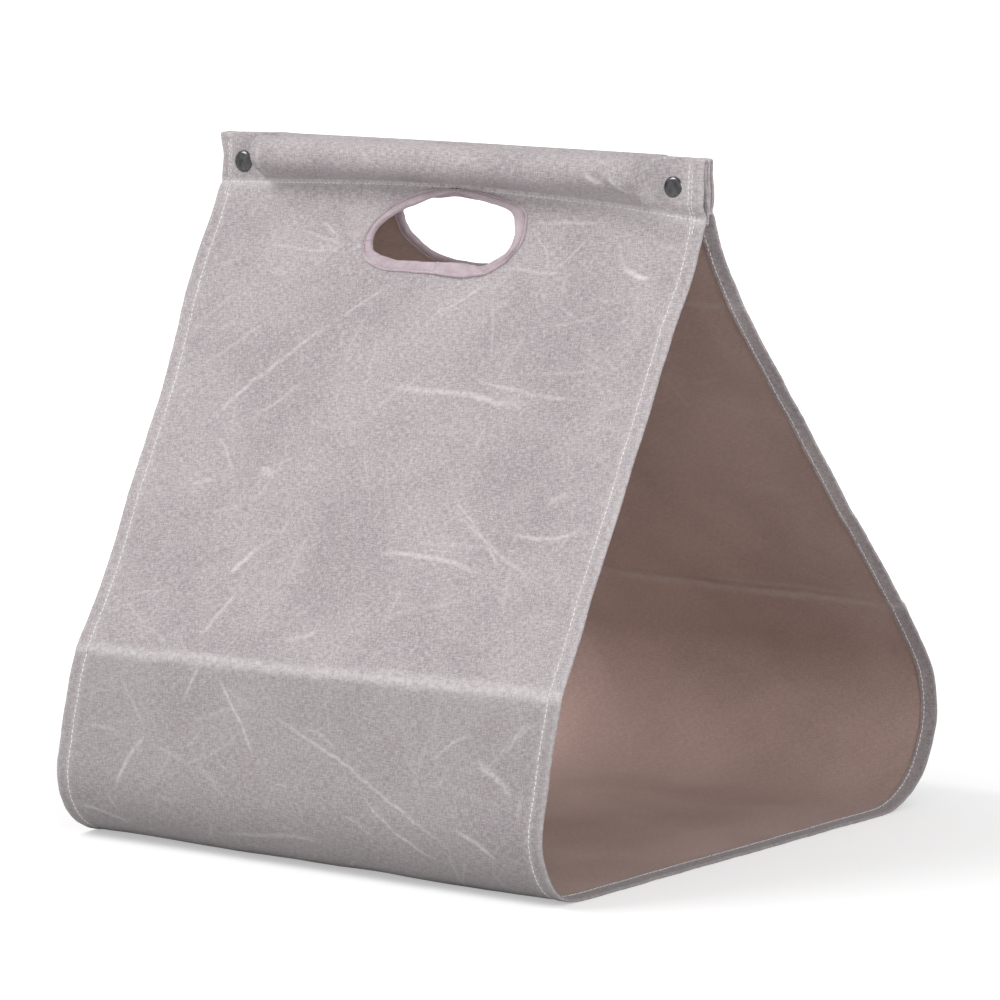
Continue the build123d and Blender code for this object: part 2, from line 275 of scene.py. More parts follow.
def curve_between(start, leave, end, arrive, share):
    """A Hermite curve: it leaves start along one arrow and comes to end along another.
    The points' axes are last and share runs from 0 to 1 over the second last axis."""
    t = share[None, :, None]
    return (
        start[:, None] * (2 * t**3 - 3 * t**2 + 1)
        + leave[:, None] * (t**3 - 2 * t**2 + t)
        + end[:, None] * (3 * t**2 - 2 * t**3)
        + arrive[:, None] * (t**3 - t**2)
    )


def touching_angle(point, centre, radius, side):
    """The angle at which a straight line from a point touches a circle, on the side asked for.
    It is the point's own angle from the centre plus the arc cosine of radius over distance."""
    apart = point - centre
    distance = np.hypot(apart[:, 0], apart[:, 1])
    heading = np.arctan2(apart[:, 1], apart[:, 0])
    if side < 0:
        heading = np.mod(heading, math.tau)
    return heading + side * np.arccos(np.clip(radius / distance, 0, 0.98))


def sleeve_loop(wall, across, seam_points, wall_below):
    """The sleeve in side view for each place along the ridge, from the seam up, round and down inside.
    A curve leads out to a circle round the dowel, an arc goes over the top, and a curve leads down inside.
    Towards the two ends of the ridge the circle shrinks to the tight fold of two layers lying flat."""
    distance = np.abs(across)
    flat = smooth_rise(-across, *LEFT_PINCH) + smooth_rise(across, *RIGHT_PINCH)
    inner_face = RIDGE_TO_INNER_FACE - HEM_PUSH_IN * smooth_rise(distance, *HEM_STEP)
    flat_radius = (RIDGE_TO_OUTER_FACE - inner_face) / 2
    looseness = 0.5 + 0.5 * cloth_noise(across, across * 0, 45 * MM, 5 + wall.faces)
    tube_radius = DOWEL_RADIUS + TUBE_SLACK + TUBE_LOOSENESS * looseness
    radius = tube_radius * (1 - flat) + flat_radius * flat
    left_end = bell(distance - 166 * MM, 9 * MM) * (across < 0)
    top = SLEEVE_TOP + 0.8 * MM * bell(across, 110 * MM) + 0.6 * MM * left_end
    centre_out = wall.ridge + RIDGE_TO_TUBE * (1 - flat) + (RIDGE_TO_OUTER_FACE + inner_face) / 2 * flat
    centre_out += (radius - DOWEL_RADIUS - TUBE_SLACK) * (1 - flat)
    centre = np.stack([centre_out, top - radius], axis=1)
    first = touching_angle(seam_points, centre, radius, 1)
    last = touching_angle(wall_below, centre, radius, -1)
    turn = np.linspace(0, 1, LOOP_ARC_STEPS)[None, :]
    angle = first[:, None] * (1 - turn) + last[:, None] * turn
    arc = centre[:, None] + radius[:, None, None] * np.stack([np.cos(angle), np.sin(angle)], axis=2)
    share = np.linspace(0, 1, LOOP_FLANK_STEPS + 1)
    upright = np.array([0.0, 1.0])
    leave = wall.top_rise * (1 - flat[:, None]) * 6 * MM + upright * flat[:, None] * 16 * MM
    start_turn = np.stack([-np.sin(first), np.cos(first)], axis=1)
    reach = np.linalg.norm(arc[:, 0] - seam_points, axis=1)[:, None]
    outer = curve_between(seam_points, leave, arc[:, 0], start_turn * reach, share)[:, 1:-1]
    end_turn = np.stack([-np.sin(last), np.cos(last)], axis=1)
    reach = np.linalg.norm(arc[:, -1] - wall_below, axis=1)[:, None]
    arrive = -wall.top_rise * reach * (1 - 0.5 * flat[:, None])
    inner = curve_between(arc[:, -1], end_turn * reach * 0.9, wall_below, arrive, share)[:, 1:]
    return np.concatenate([outer, arc, inner], axis=1)


def cloth_columns():
    """The places across the cloth where its grid has lines, closer together on the hems."""
    edge = HALF_WIDTH - cloth().thickness
    hem = HALF_WIDTH - cloth().hem_width
    fine = np.arange(174 * MM, 152 * MM, -BIG_STEP / 2)[::-1]
    middle = np.linspace(-fine[0], fine[0], int(2 * fine[0] / BIG_STEP) + 1)[1:-1]
    outside = np.linspace(fine[-1], hem, 6)[1:]
    side = np.concatenate([fine, outside, np.linspace(hem, edge, HEM_CELLS + 1)[1:]])
    return np.concatenate([-side[::-1], middle, side])


def hand_pull(across, down):
    """Folds that fan out from the lower corners of the hand hole, as a share of their depth.
    Each is a ridge along a ray from a corner, and it fades with the distance from that corner."""
    total = np.zeros(np.broadcast(across, down).shape)
    for corner, rays in HAND_PULLS:
        aside, below = across - corner * MM, down - PULL_CORNER_DOWN
        distance = np.hypot(aside, below) + 1e-6
        heading = np.degrees(np.arctan2(-below, aside))
        for ray in rays:
            turned = (heading - ray + 180) % 360 - 180
            total += bell(turned, 5.5) * bell(distance - 34 * MM, 17 * MM)
    return total


class ClothGrid:
    """The outer face of the cloth on one side of the sling, as a grid of points.
    Rows run along the ridge and the second axis runs from the middle of the floor, up the wall, over the
    dowel and down inside. Each point is the side view moved square to itself by the cloth's own folds."""

    def __init__(self, wall):
        self.wall = wall
        self.columns = cloth_columns()
        profile_length, profile = wall_profile(wall)
        self.seam_length = float(np.interp(SEAM_HEIGHT, profile[:, 1], profile_length))
        steps = int(self.seam_length / BIG_STEP)
        run = np.linspace(0, self.seam_length, steps + 1)
        x = self.columns
        rise = eased(SEAM_RISE, x if wall is FRONT else -x, 14 * MM)
        drawn = smooth_rise(run, self.seam_length - ARCH_ZONE, self.seam_length)
        along = run[None, :] + rise[:, None] * drawn[None, :]
        side_view = points_at(along, profile_length, profile)
        wall_below = points_at(along[:, -1] - INNER_LAYER_BELOW_SEAM, profile_length, profile)
        layers = 2 * cloth().thickness + CLEAR_OF_WALL
        wall_below[:, 0] -= layers * 1.06 * (1 + 0.85 * smooth_rise(np.abs(x), *HEM_STEP))
        loop = sleeve_loop(wall, x, side_view[:, -1], wall_below)
        self.seam_row = steps
        turn_up = int(np.argmax(profile[:, 1] > FLOOR_CLEARED))
        turns = np.interp((wall.crease[1], wall.bend[1]), profile[turn_up:, 1], profile_length[turn_up:])
        self.crease_down, self.bend_down = ((self.seam_length - turns) / MM).tolist()
        side_view = np.concatenate([side_view, loop], axis=1)
        self.length = path_length(side_view)
        self.down = self.length[:, steps : steps + 1] - self.length
        self.level = self.down - rise[:, None]
        self.level[:, : steps + 1] = self.seam_length - along
        along_view = unit(np.gradient(side_view, axis=1))
        outside = np.stack([along_view[..., 1], -along_view[..., 0]], axis=2)
        moved = side_view + outside * self.folds(side_view)[..., None]
        across = self.columns[:, None] + self.edge_shift(side_view)
        self.outer = np.stack([across, wall.faces * moved[..., 0], moved[..., 1]], axis=2)
        self.outward = self.facing(outside)
        self.across_arrow = unit(np.gradient(self.outer, axis=0))

    def facing(self, outside):
        """The direction square to the cloth at each point, from the grid's two slopes."""
        square = unit(np.cross(np.gradient(self.outer, axis=0), np.gradient(self.outer, axis=1)))
        rough = np.stack([outside[..., 0] * 0, self.wall.faces * outside[..., 0], outside[..., 1]], axis=2)
        return square * np.sign(np.sum(square * rough))

    def inside_share(self):
        """0 on the wall and the sleeve's outside, 1 on its inner layer, by row."""
        row = np.arange(self.length.shape[1])
        over_top = self.seam_row + LOOP_FLANK_STEPS + LOOP_ARC_STEPS * 0.55
        return smooth_rise(row, over_top - 6, over_top + 4)[None, :]

    def folds(self, side_view):
        """How far the cloth stands out of its plain side view: the edges' bulge, slow waves, folds pulled
        by the hand hole, the crease, the hem, the seam and two wrinkles, with a flat round each press
        stud."""
        wall, x, height = self.wall, self.columns[:, None], side_view[..., 1]
        mirrored = x if wall is FRONT else -x
        seed = 11 if wall is FRONT else 41
        along = self.length
        wander = CREASE_WANDER * cloth_noise(x, x * 0, 60 * MM, seed + 3)
        crease = self.crease_down * MM + CREASE_DROP - mirrored * math.tan(math.radians(CREASE_TILT))
        total = self.bulge(height) + self.waves(seed) + HAND_PULL_DEPTH * hand_pull(mirrored, self.level)
        total += CREASE_RISE * bell(self.level - crease - wander, 2.4 * MM)
        total += self.hem_relief(seed)
        total += -SEAM_DENT * bell(self.down, 1.3 * MM) * (1 + 0.5 * cloth_noise(x, x * 0, 6 * MM, seed + 5))
        total += self.wrinkles(mirrored, height)
        row = np.arange(along.shape[1])[None, :]
        over_dowel = smooth_rise(row, self.seam_row + 1, self.seam_row + 7)
        pushed_out = (total + np.sqrt(total**2 + (0.4 * MM) ** 2)) / 2
        total = total * (1 - over_dowel) + pushed_out * over_dowel
        from_cap = np.hypot(np.abs(x) - CAP_ACROSS, height - CAP_HEIGHT)
        total *= smooth_rise(from_cap, CAP_RADIUS + 1 * MM, CAP_RADIUS + 5 * MM)
        last = along.shape[1] - 1
        with_wall = smooth_rise(row, last - LOOP_FLANK_STEPS * 0.8, last - 1) * total[:, self.seam_row][:, None]
        return total * (1 - self.inside_share()) - with_wall * self.inside_share()

    def bulge(self, height):
        """The stand-off of the two edges, each fading across the cloth as a power of the share of its
        width."""
        share = (self.columns[:, None] + HALF_WIDTH) / (2 * HALF_WIDTH)
        left = eased(LEFT_EDGE_BULGE[self.wall.name], height, 9 * MM)
        right = eased(RIGHT_EDGE_BULGE[self.wall.name], height, 7 * MM)
        return left * (1 - share) ** BULGE_FADE + right * share**BULGE_FADE

    def waves(self, seed):
        """Slow waves: three noises of falling size, which rise from the floor up and are calmer at the
        seam."""
        x, along = self.columns[:, None], self.length
        amount = cloth().fold_depth * smooth_rise(along, *WAVES_START)
        total = amount * sum(
            share * cloth_noise(x + along * slant, along * stretch, size * MM, seed + index)
            for index, (share, size, slant, stretch) in enumerate(WAVES)
        )
        return total * (1 - 0.6 * smooth_rise(along, self.seam_length - 12 * MM, self.seam_length))

    def hem_relief(self, seed):
        """The dent of the hem's stitches, the step up to its two layers and the ripple of its outer edge."""
        x, along = self.columns[:, None], self.length
        past_stitches = np.abs(x) - (HALF_WIDTH - stitching().from_edge)
        pucker = 1 + 0.9 * cloth_noise(x * 0.3, along, 5.5 * MM, seed + 4)
        relief = -HEM_DENT * bell(past_stitches, 1.5 * MM) * pucker
        relief += HEM_RISE * smooth_rise(past_stitches, -3 * MM, 2 * MM) * pucker
        ripple = cloth_noise(x * 0.2, along, 22 * MM, seed + 6)
        return relief + HEM_RIPPLE * smooth_rise(np.abs(x), 0.17, 0.2) * ripple

    def wrinkles(self, mirrored, height):
        """Slanting ridges on the sleeve beside the right press stud, fading out at the seam and at the
        top."""
        total = sum(
            depth * MM * bell(mirrored - across * MM + (height - middle * MM) * slant, width * MM)
            for depth, across, middle, slant, width in SLEEVE_WRINKLES
        )
        return total * (smooth_rise(height, 0.425, 0.436) * (1 - smooth_rise(height, 0.452, 0.461)))

    def edge_shift(self, side_view):
        """How far the cloth's two edges are drawn in or out along the ridge, fading towards the middle."""
        x, height = self.columns[:, None], side_view[..., 1]
        left = eased(LEFT_WAIST, height, 3 * MM) * smooth_rise(-x, *EDGE_ZONE)
        right = eased(RIGHT_WAIST, height, 3 * MM) * smooth_rise(x, *EDGE_ZONE)
        ripple = EDGE_RIPPLE * cloth_noise(x * 0, self.length, 14 * MM, 77) * smooth_rise(np.abs(x), 0.185, 0.2)
        return left - right + ripple * np.sign(x)

    def wear(self):
        """Where the wax is rubbed pale: along the hems' stitches, the folded edges, the sleeve's seam and the
        sharp fold where the dowel ends."""
        x = self.columns[:, None]
        stitch = rubbed(np.abs(x) - HALF_WIDTH + stitching().from_edge, STITCH_WEAR)
        edge = rubbed(np.abs(x) - HALF_WIDTH, EDGE_WEAR)
        seam = rubbed(self.down, SEAM_WEAR)
        up = -self.down
        above_seam = smooth_rise(up, 2 * MM, 9 * MM) * (1 - smooth_rise(up, 30 * MM, 45 * MM))
        left = rubbed(x - (LEFT_FOLD - self.down * LEFT_FOLD_SLANT), LEFT_FOLD_WEAR)
        fold = (left + rubbed(x - RIGHT_FOLD, RIGHT_FOLD_WEAR)) * above_seam
        return np.maximum(np.maximum(stitch, edge), np.maximum(seam, fold))

    def soil(self):
        """How much painted shade darkens the cloth: more below the crease and towards the floor."""
        below = self.level - self.crease_down * MM - CREASE_DROP
        return sum(amount * smooth_rise(below, start * MM, end * MM) for amount, start, end in LOW_SHADE)

    def sample(self, x, row):
        """The outer face and its outward direction at places across and rows, each mixed from four points."""
        column = np.interp(x, self.columns, np.arange(len(self.columns)))
        i = np.clip(np.floor(column).astype(int), 0, len(self.columns) - 2)
        j = np.clip(np.floor(row).astype(int), 0, self.length.shape[1] - 2)
        u, v = (column - i)[..., None], (row - j)[..., None]
        found = []
        for grid in (self.outer, self.outward):
            low = grid[i, j] * (1 - u) + grid[i + 1, j] * u
            high = grid[i, j + 1] * (1 - u) + grid[i + 1, j + 1] * u
            found.append(low * (1 - v) + high * v)
        return found[0], unit(found[1])


# The hand holes' clear edges and the outer edge of the front one's tape, as corners of polygons that are then
# rounded: (across, down from the seam) in mm
HOLE_CORNERS = {
    "front": (
        (-60, 38), (-57, 44.5), (-48, 47.2), (-35, 49.8), (-10, 49.2), (20, 48.4), (37, 50), (45.5, 44),
        (54, 38.5), (55.5, 25), (52, 12.5), (42, 8.3), (17, 4), (-1.5, -0.5), (-20, 6.2), (-38, 13.2),
        (-51, 20.5), (-59, 27),
    ),
    "back": (
        (-59, 22), (-59, 37), (-50, 49), (-42, 55), (-31, 58), (-12, 60), (20, 59), (41, 55), (53, 43),
        (55, 28), (49, 14), (20, 7.5), (-5, 5), (-36, 8.5), (-53, 13.5),
    ),
}
TAPE_CORNERS = (
    (-67, 38), (-64.5, 47.5), (-58, 53), (-50, 56), (-41, 57.8), (-16, 57.3), (3, 57.5), (20, 58.8), (41, 55.3),
    (53.5, 46.5), (61.5, 35), (64, 25), (63, 12), (58, 7), (37, 1.6), (16, -1.5), (-5, -1.8), (-21, -0.4),
    (-36, 4.6), (-50, 11.8), (-61, 23.5), (-66, 33),
)
HOLE_MIDDLE = np.array([-2, 28]) * MM
PLAIN_TAPE_WIDTH = 6.5 * MM
# The tape's cut: (share of the way to its outer edge, height over the cloth in mm, depth of the stitched
# groove)
TAPE_SECTION = (
    (1.0, -0.1, 0), (1.02, 0.45, 0), (0.98, 0.95, 0), (0.92, 1.15, 0), (0.86, 1.0, 0.2), (0.80, 0.85, 0.85),
    (0.75, 0.85, 1.05), (0.69, 0.9, 0.7), (0.62, 1.0, 0), (0.45, 1.05, 0), (0.28, 1.15, 0), (0.15, 1.2, 0),
    (0.06, 0.9, 0), (0.0, 0.3, 0), (-0.03, -0.6, 0), (0.0, -1.5, 0), (0.06, -2.15, 0), (0.15, -2.45, 0),
    (0.3, -2.4, 0), (0.5, -2.25, 0), (0.64, -2.2, 0), (0.72, -2.1, 0.5), (0.77, -2.05, 0.6), (0.83, -2.1, 0.3),
    (0.9, -2.3, 0), (0.97, -2.15, 0), (1.02, -1.7, 0), (1.0, -1.1, 0),
)
TAPE_PUCKER = 0.36 * MM
# Where the tape's two ends overlap: how far down its foot starts, and the ends of the overlap across
TAPE_FOOT = (40 * MM, 46 * MM)
JOINT_START = (-1 * MM, 0)
JOINT_END = (31 * MM, 32 * MM)
JOINT_RISE = 1.0 * MM
TAPE_STITCHES_AT = 0.76
TAPE_STITCH_SCALE = 0.75
HOLE_SEARCH_ROWS = 60
HOLE_ROUNDING = 3.2 * MM
HOLE_POINTS = 320
CLOTH_CUT_FROM_EDGE = 2.2 * MM


def rounded_loop(corners):
    """A closed line of places through a polygon's corners, rounded by a bell-shaped average round the
    line."""
    corners = np.array(corners) * MM
    closed = np.vstack([corners, corners[:1]])
    lengths = path_length(closed)
    even = np.linspace(0, lengths[-1], HOLE_POINTS, endpoint=False)
    line = points_at(even, lengths, closed)
    weights = bell(even - lengths[-1] / 2, HOLE_ROUNDING)
    spread = np.fft.fft(np.fft.ifftshift(weights / weights.sum()))
    return np.real(np.fft.ifft(np.fft.fft(line, axis=0) * spread[:, None], axis=0))


def reach_of(line, heading):
    """How far a closed line is from the middle of the hand hole, in the direction of each heading."""
    apart = line - HOLE_MIDDLE
    angles = np.arctan2(apart[:, 1], apart[:, 0])
    order = np.argsort(angles)
    return np.interp(heading, angles[order], np.hypot(apart[:, 0], apart[:, 1])[order], period=math.tau)


def hole_rays(wall):
    """The hand hole as rays from its middle: headings, and the reach of the clear edge and the tape's outer
    edge."""
    clear = rounded_loop(HOLE_CORNERS[wall.name])
    apart = clear - HOLE_MIDDLE
    heading = np.unwrap(np.arctan2(apart[:, 1], apart[:, 0]))
    inner = np.hypot(apart[:, 0], apart[:, 1])
    if wall is FRONT:
        outer = reach_of(rounded_loop(TAPE_CORNERS), heading)
    else:
        outer = inner + PLAIN_TAPE_WIDTH
    return heading, inner, outer


def from_middle(heading, reach):
    """The places at these reaches along these headings, across and down from the seam."""
    return HOLE_MIDDLE + np.stack([np.cos(heading), np.sin(heading)], axis=-1) * reach[..., None]


def inside_hole(x, down, line):
    """True where a place lies inside the closed line: its distance from the middle is under the line's."""
    aside, below = x - HOLE_MIDDLE[0], down - HOLE_MIDDLE[1]
    return np.hypot(aside, below) < reach_of(line, np.arctan2(below, aside))


OUTER_MARKS = (
    # across, down from the seam, half length in mm, angle in degrees, bend in mm, half width in mm, strength
    (-98, 40, 21, -13, 1.5, 1.3, 0.5),
    (-94, 33, 12, -36, 0.5, 1.1, 0.55),
    (-109, 45, 40, -2, -2, 1.3, 0.45),
    (-66, 42, 14, 28, 1, 1.6, 0.5),
    (79, 34, 18, -47, 1, 1.1, 0.5),
    (102, 37, 17, 48, -1.5, 1.1, 0.5),
    (95, 17, 33, 3, 2, 1.4, 0.55),
    (82, 49, 31, 0, -1, 1.2, 0.5),
    (158, 45, 14, -13, -2, 2.2, 0.95),
    (146, 36, 12, -60, -2, 1.3, 0.4),
    (28, 74, 27, 40, 1, 1.3, 0.55),
    (8, 88, 26, 52, -1, 1.2, 0.35),
    (-49, 81, 25, 40, 1, 1.4, 0.55),
    (-112, 137, 66, 43, 3, 1.9, 0.6),
    (-150, 118, 40, 38, -2, 1.4, 0.35),
    (46, 143, 68, -3, 4, 2.4, 0.7),
    (102, 131, 52, -5, -3, 1.5, 0.5),
    (-99, 154, 25, 41, -1.5, 1.6, 0.5),
    (57, 91, 28, -69, 1, 1.3, 0.35),
    (-32, 122, 24, -86, 2, 1.5, 0.4),
    (75, 168, 9, 80, 0.5, 1.6, 0.45),
    (-85, 268, 17, 48, 0.5, 2.2, 0.85),
    (-138, 219, 13, 15, 2, 1.5, 0.55),
    (-128, 196, 18, -50, 1.5, 1.2, 0.45),
    (-93, 305, 25, 62, -1.5, 2.0, 0.6),
    (-88, 206, 8, -10, 1, 2.8, 0.85),
    (66, 256, 50, -4, 4, 1.9, 0.75),
    (96, 233, 40, -40, 1, 1.3, 0.6),
    (113, 238, 54, -28, -4, 1.4, 0.5),
    (148, 224, 33, 8, -7, 1.8, 0.65),
    (150, 205, 10, 35, 1, 2.4, 0.5),
    (49, 286, 18, 85, 1, 1.2, 0.4),
    (-19, 314, 17, 22, -2.5, 2.0, 0.55),
    (-60, 240, 10, 70, 0, 1.8, 0.4),
    (10, 200, 12, -65, 1, 1.4, 0.3),
    (-160, 300, 22, 12, 2, 1.2, 0.35),
    (-58, 374, 38, -51, 3, 1.3, 0.6),
    (-138, 412, 24, 62, 1.5, 1.7, 0.55),
    (48, 404, 94, -24, 5, 1.4, 0.45),
    (158, 391, 22, -33, 2, 2.8, 0.5),
    (147, 434, 20, -27, 2, 1.6, 0.6),
    (86, 430, 40, -34, -3, 1.3, 0.5),
    (-96, 352, 20, 75, 1, 1.6, 0.4),
    (172, 362, 12, 60, 1.5, 2.2, 0.4),
    (-20, 452, 48, 4, 3, 2.0, 0.3),
    (-165, 452, 26, -14, 2, 1.8, 0.4),
)
SLEEVE_MARKS = (
    # across, up from the seam, half length in mm, angle in degrees, bend in mm, half width in mm, strength
    (-152, 20, 17, 84, 1.5, 1.6, 0.55),
    (128, 24, 9, -24, -1.5, 2.0, 0.8),
    (146, 18, 13, -48, 2, 1.6, 0.7),
    (20, 32, 9, 35, 1, 2.0, 0.4),
    (-60, 30, 8, -40, 1, 1.8, 0.35),
    (62, 24, 10, 62, 1, 1.6, 0.35),
)
MARK_LAYERS = 4
MARK_SPREAD = 1.45
# A mark fades between these shares of its half length, and between these distances from its middle line in mm
MARK_END_FADE = (0.45, 1.0)
MARK_SIDE_FADE = (3.8, 7.0)


def stray_marks(count, seed, weakest, strongest):
    """Faint marks strewn over the cloth: random places, lengths, directions, bends, widths and strengths."""
    chance = np.random.default_rng(seed)
    return [
        (
            chance.uniform(-185, 185), chance.uniform(-10, 560), 6 + 34 * chance.random() ** 2,
            chance.choice([-42, 35, -5, 70]) + chance.normal(0, 22), chance.normal(0, 2.5),
            chance.uniform(0.8, 2.2), chance.uniform(weakest, strongest),
        )
        for _ in range(count)
    ]


def mark_rows(wall, crease_down, bend_down):
    """The marks of the outer face and of the inner face of one side of the cloth."""
    drop = crease_down + CREASE_DROP / MM
    tilt = CREASE_TILT if wall is FRONT else -CREASE_TILT
    crease = (
        (0, drop, 700, tilt, 0, 5.0, 0.62), (-110, drop + 5, 80, tilt + 1.5, 1, 3, 0.4),
        (110, drop - 5, 90, tilt - 0.8, 1, 3, 0.45), (0, drop + 2, 700, tilt, 0, 2.2, 0.5),
    )
    bend = ((0, bend_down, 700, 0, 0, 2.6, 0.4), (30, bend_down + 3, 500, 1.2, 2, 1.6, 0.25))
    if wall is FRONT:
        sleeve = tuple((x, -up, *rest) for x, up, *rest in SLEEVE_MARKS)
        return (*crease, *sleeve, *OUTER_MARKS, *stray_marks(190, 3, 0.1, 0.32)), (*crease, *bend)
    turned = tuple(
        (-x * 0.9, down * 1.1 + 9, half, 20 - angle, *rest) for x, down, half, angle, *rest in OUTER_MARKS
    )
    return (*crease, *turned, *stray_marks(150, 8, 0.1, 0.3)), (*crease, *bend, *stray_marks(60, 9, 0.08, 0.3))


def mark_field(across, down, rows):
    """For each point and layer: the signed distance to the nearest strong mark, its strength there and its
    half width. A mark is a parabola over its own length: its bow is bend times one less the square of the
    share along it, and it fades out over the last half of its length."""
    field = np.zeros(across.shape + (MARK_LAYERS, 3))
    field[..., 2] = 1.5
    wiggle = 1.1 * cloth_noise(across, down, 13 * MM, 61) + 0.45 * cloth_noise(across, down, 6 * MM, 62)
    for index, (x, y, half, angle, bend, width, strength) in enumerate(rows):
        layer = index % MARK_LAYERS
        width = width * MARK_SPREAD
        turn = math.radians(angle)
        aside, above = across / MM - x, y - down / MM
        share = (aside * math.cos(turn) + above * math.sin(turn)) / half
        off = -aside * math.sin(turn) + above * math.cos(turn) - bend * (1 - share**2) - wiggle
        shown = strength * (1 - smooth_rise(np.abs(share), *MARK_END_FADE))
        shown = shown * (1 - smooth_rise(np.abs(off), *MARK_SIDE_FADE))
        better = shown > field[..., layer, 1]
        values = np.stack([off, shown, np.full(off.shape, width)], axis=-1)
        field[..., layer, :] = np.where(better[..., None], values, field[..., layer, :])
    return field


def new_object(name, points, faces, materials, face_material=None, sharp=50):
    """A mesh object at the origin from points and faces, smooth except where it turns by more than sharp
    degrees."""
    mesh = bpy.data.meshes.new(name)
    mesh.from_pydata(np.asarray(points).tolist(), [], faces)
    for material in materials:
        mesh.materials.append(material)
    if face_material is not None:
        mesh.polygons.foreach_set("material_index", np.asarray(face_material, np.int32))
    mesh.polygons.foreach_set("use_smooth", np.ones(len(mesh.polygons), bool))
    mesh.set_sharp_from_angle(angle=math.radians(sharp))
    mesh.update()
    piece = bpy.data.objects.new(name, mesh)
    bpy.context.scene.collection.objects.link(piece)
    return piece


def give_cloth_map(piece, flat_places):
    """Gives the mesh a UV map named cloth, which holds each point's place on the flat cloth, in metres."""
    mesh = piece.data
    layer = mesh.uv_layers.new(name="cloth")
    corner = np.zeros(len(mesh.loops), np.int32)
    mesh.loops.foreach_get("vertex_index", corner)
    layer.data.foreach_set("uv", np.asarray(flat_places, np.float32)[corner].ravel())


def give_marks(piece, field, wear, soil):
    """Gives the mesh its mark layers, its wear and its painted shade, one value for each point."""
    for layer in range(MARK_LAYERS):
        held = piece.data.attributes.new(f"mark_{layer}", "FLOAT_VECTOR", "POINT")
        held.data.foreach_set("vector", np.ascontiguousarray(field[:, layer], np.float32).ravel())
    for name, values in (("wear", wear), ("soil", soil)):
        held = piece.data.attributes.new(name, "FLOAT", "POINT")
        held.data.foreach_set("value", np.ascontiguousarray(values, np.float32))


def grid_faces(rows, columns, wrap_columns=False, wrap_rows=False):
    """The four-sided faces of a grid of points numbered row by row. Where it wraps, its last line joins its
    first."""
    i = np.arange(rows if wrap_rows else rows - 1)[:, None]
    j = np.arange(columns if wrap_columns else columns - 1)[None, :]
    after, beside = (i + 1) % rows * columns, (j + 1) % columns
    return np.stack([i * columns + j, after + j, after + beside, i * columns + beside], axis=2)


def outward_order(points, faces, outward):
    """The faces, turned over if most of them look against the outward arrows of their first points."""
    a, b, c = (points[faces[:, k]] for k in range(3))
    square = np.cross(b - a, c - b)
    return faces if np.sum(square * outward[faces[:, 0]]) > 0 else faces[:, ::-1]


class ClothRing:
    """The cut across the strip as a ring of points: the outer face, a round fold at each edge, the hem
    turned in under it, the hem's raw edge and the inner face. Each point has its column of the grid, its
    depth under the outer face and its distance aside. The folds are half circles."""

    def __init__(self, count):
        thick, hem, fold = cloth().thickness, HEM_CELLS, HEM_FOLD_STEPS
        angles = np.pi * np.arange(1, fold + 1) / (fold + 1)
        fold_depth, fold_out = thick * (1 - np.cos(angles)), thick * np.sin(angles)
        runs = (
            (np.arange(count), 0, 0),
            (np.full(fold, count - 1), fold_depth, fold_out),
            (np.arange(count - 1, count - 2 - hem, -1), 2 * thick, 0),
            (np.arange(count - 1 - hem, hem - 1, -1), thick, 0),
            (np.arange(hem, -1, -1), 2 * thick, 0),
            (np.zeros(fold, int), fold_depth[::-1], -fold_out[::-1]),
        )
        self.column = np.concatenate([columns for columns, _, _ in runs])
        self.depth = np.concatenate([np.broadcast_to(depth, columns.shape) for columns, depth, _ in runs])
        self.aside = np.concatenate([np.broadcast_to(aside, columns.shape) for columns, _, aside in runs])
        self.count, self.size = count, len(self.column)
        self.hem_right = count + fold
        self.inner_first = self.hem_right + hem + 1
        self.hem_left = self.inner_first + count - 2 * hem
        self.inner_mirror = self.inner_first + count - 1 - hem

    def hole_rim(self, cut, steps):
        """The faces that join the outer face to the inner face round the cells that are cut away."""
        inner = self.inner_mirror - np.arange(self.count)
        faces = []
        for edges, shift, (right, up) in (
            (cut[1:] != cut[:-1], (1, 0), (0, 1)), (cut[:, 1:] != cut[:, :-1], (0, 1), (1, 0)),
        ):
            i, j = (np.argwhere(edges) + shift).T
            faces.append(np.stack([
                i * steps + j, (i + right) * steps + j + up,
                inner[i + right] * steps + j + up, inner[i] * steps + j,
            ], axis=1))
        return np.concatenate(faces)

    def end_cap(self, row, steps):
        """The faces that close one end of a stretch: a strip between the outer face and what lies under
        it."""
        count, hem = self.count, HEM_CELLS
        faces = []
        for i in range(count - 1):
            if i < hem:
                mirror = self.hem_left + hem
            elif i >= count - 1 - hem:
                mirror = self.hem_right + count - 1
            else:
                mirror = self.inner_mirror
            face = [i, i + 1, mirror - i - 1, mirror - i]
            if i == hem - 1:
                face.insert(2, self.hem_left - 1)
            if i == count - 1 - hem:
                face.append(self.inner_first)
            faces.append(face)
        faces.append(list(range(count - 1, self.hem_right + 1)))
        faces.append([k % self.size for k in range(self.hem_left + hem, self.size + 1)])
        return [[k * steps + row for k in face] for face in faces]


def hole_cells(grid, first, last, hole):
    """True for the cells of the grid between two rows whose middles lie inside the hand hole."""
    middle_x = (grid.columns[:-1] + grid.columns[1:]) / 2
    down = (grid.level[:-1, first:last] + grid.level[1:, first + 1 : last + 1]) / 2
    cut = inside_hole(middle_x[:, None], down, hole) & (down > -20 * MM)
    cut[:, grid.seam_row - first :] = False
    return cut


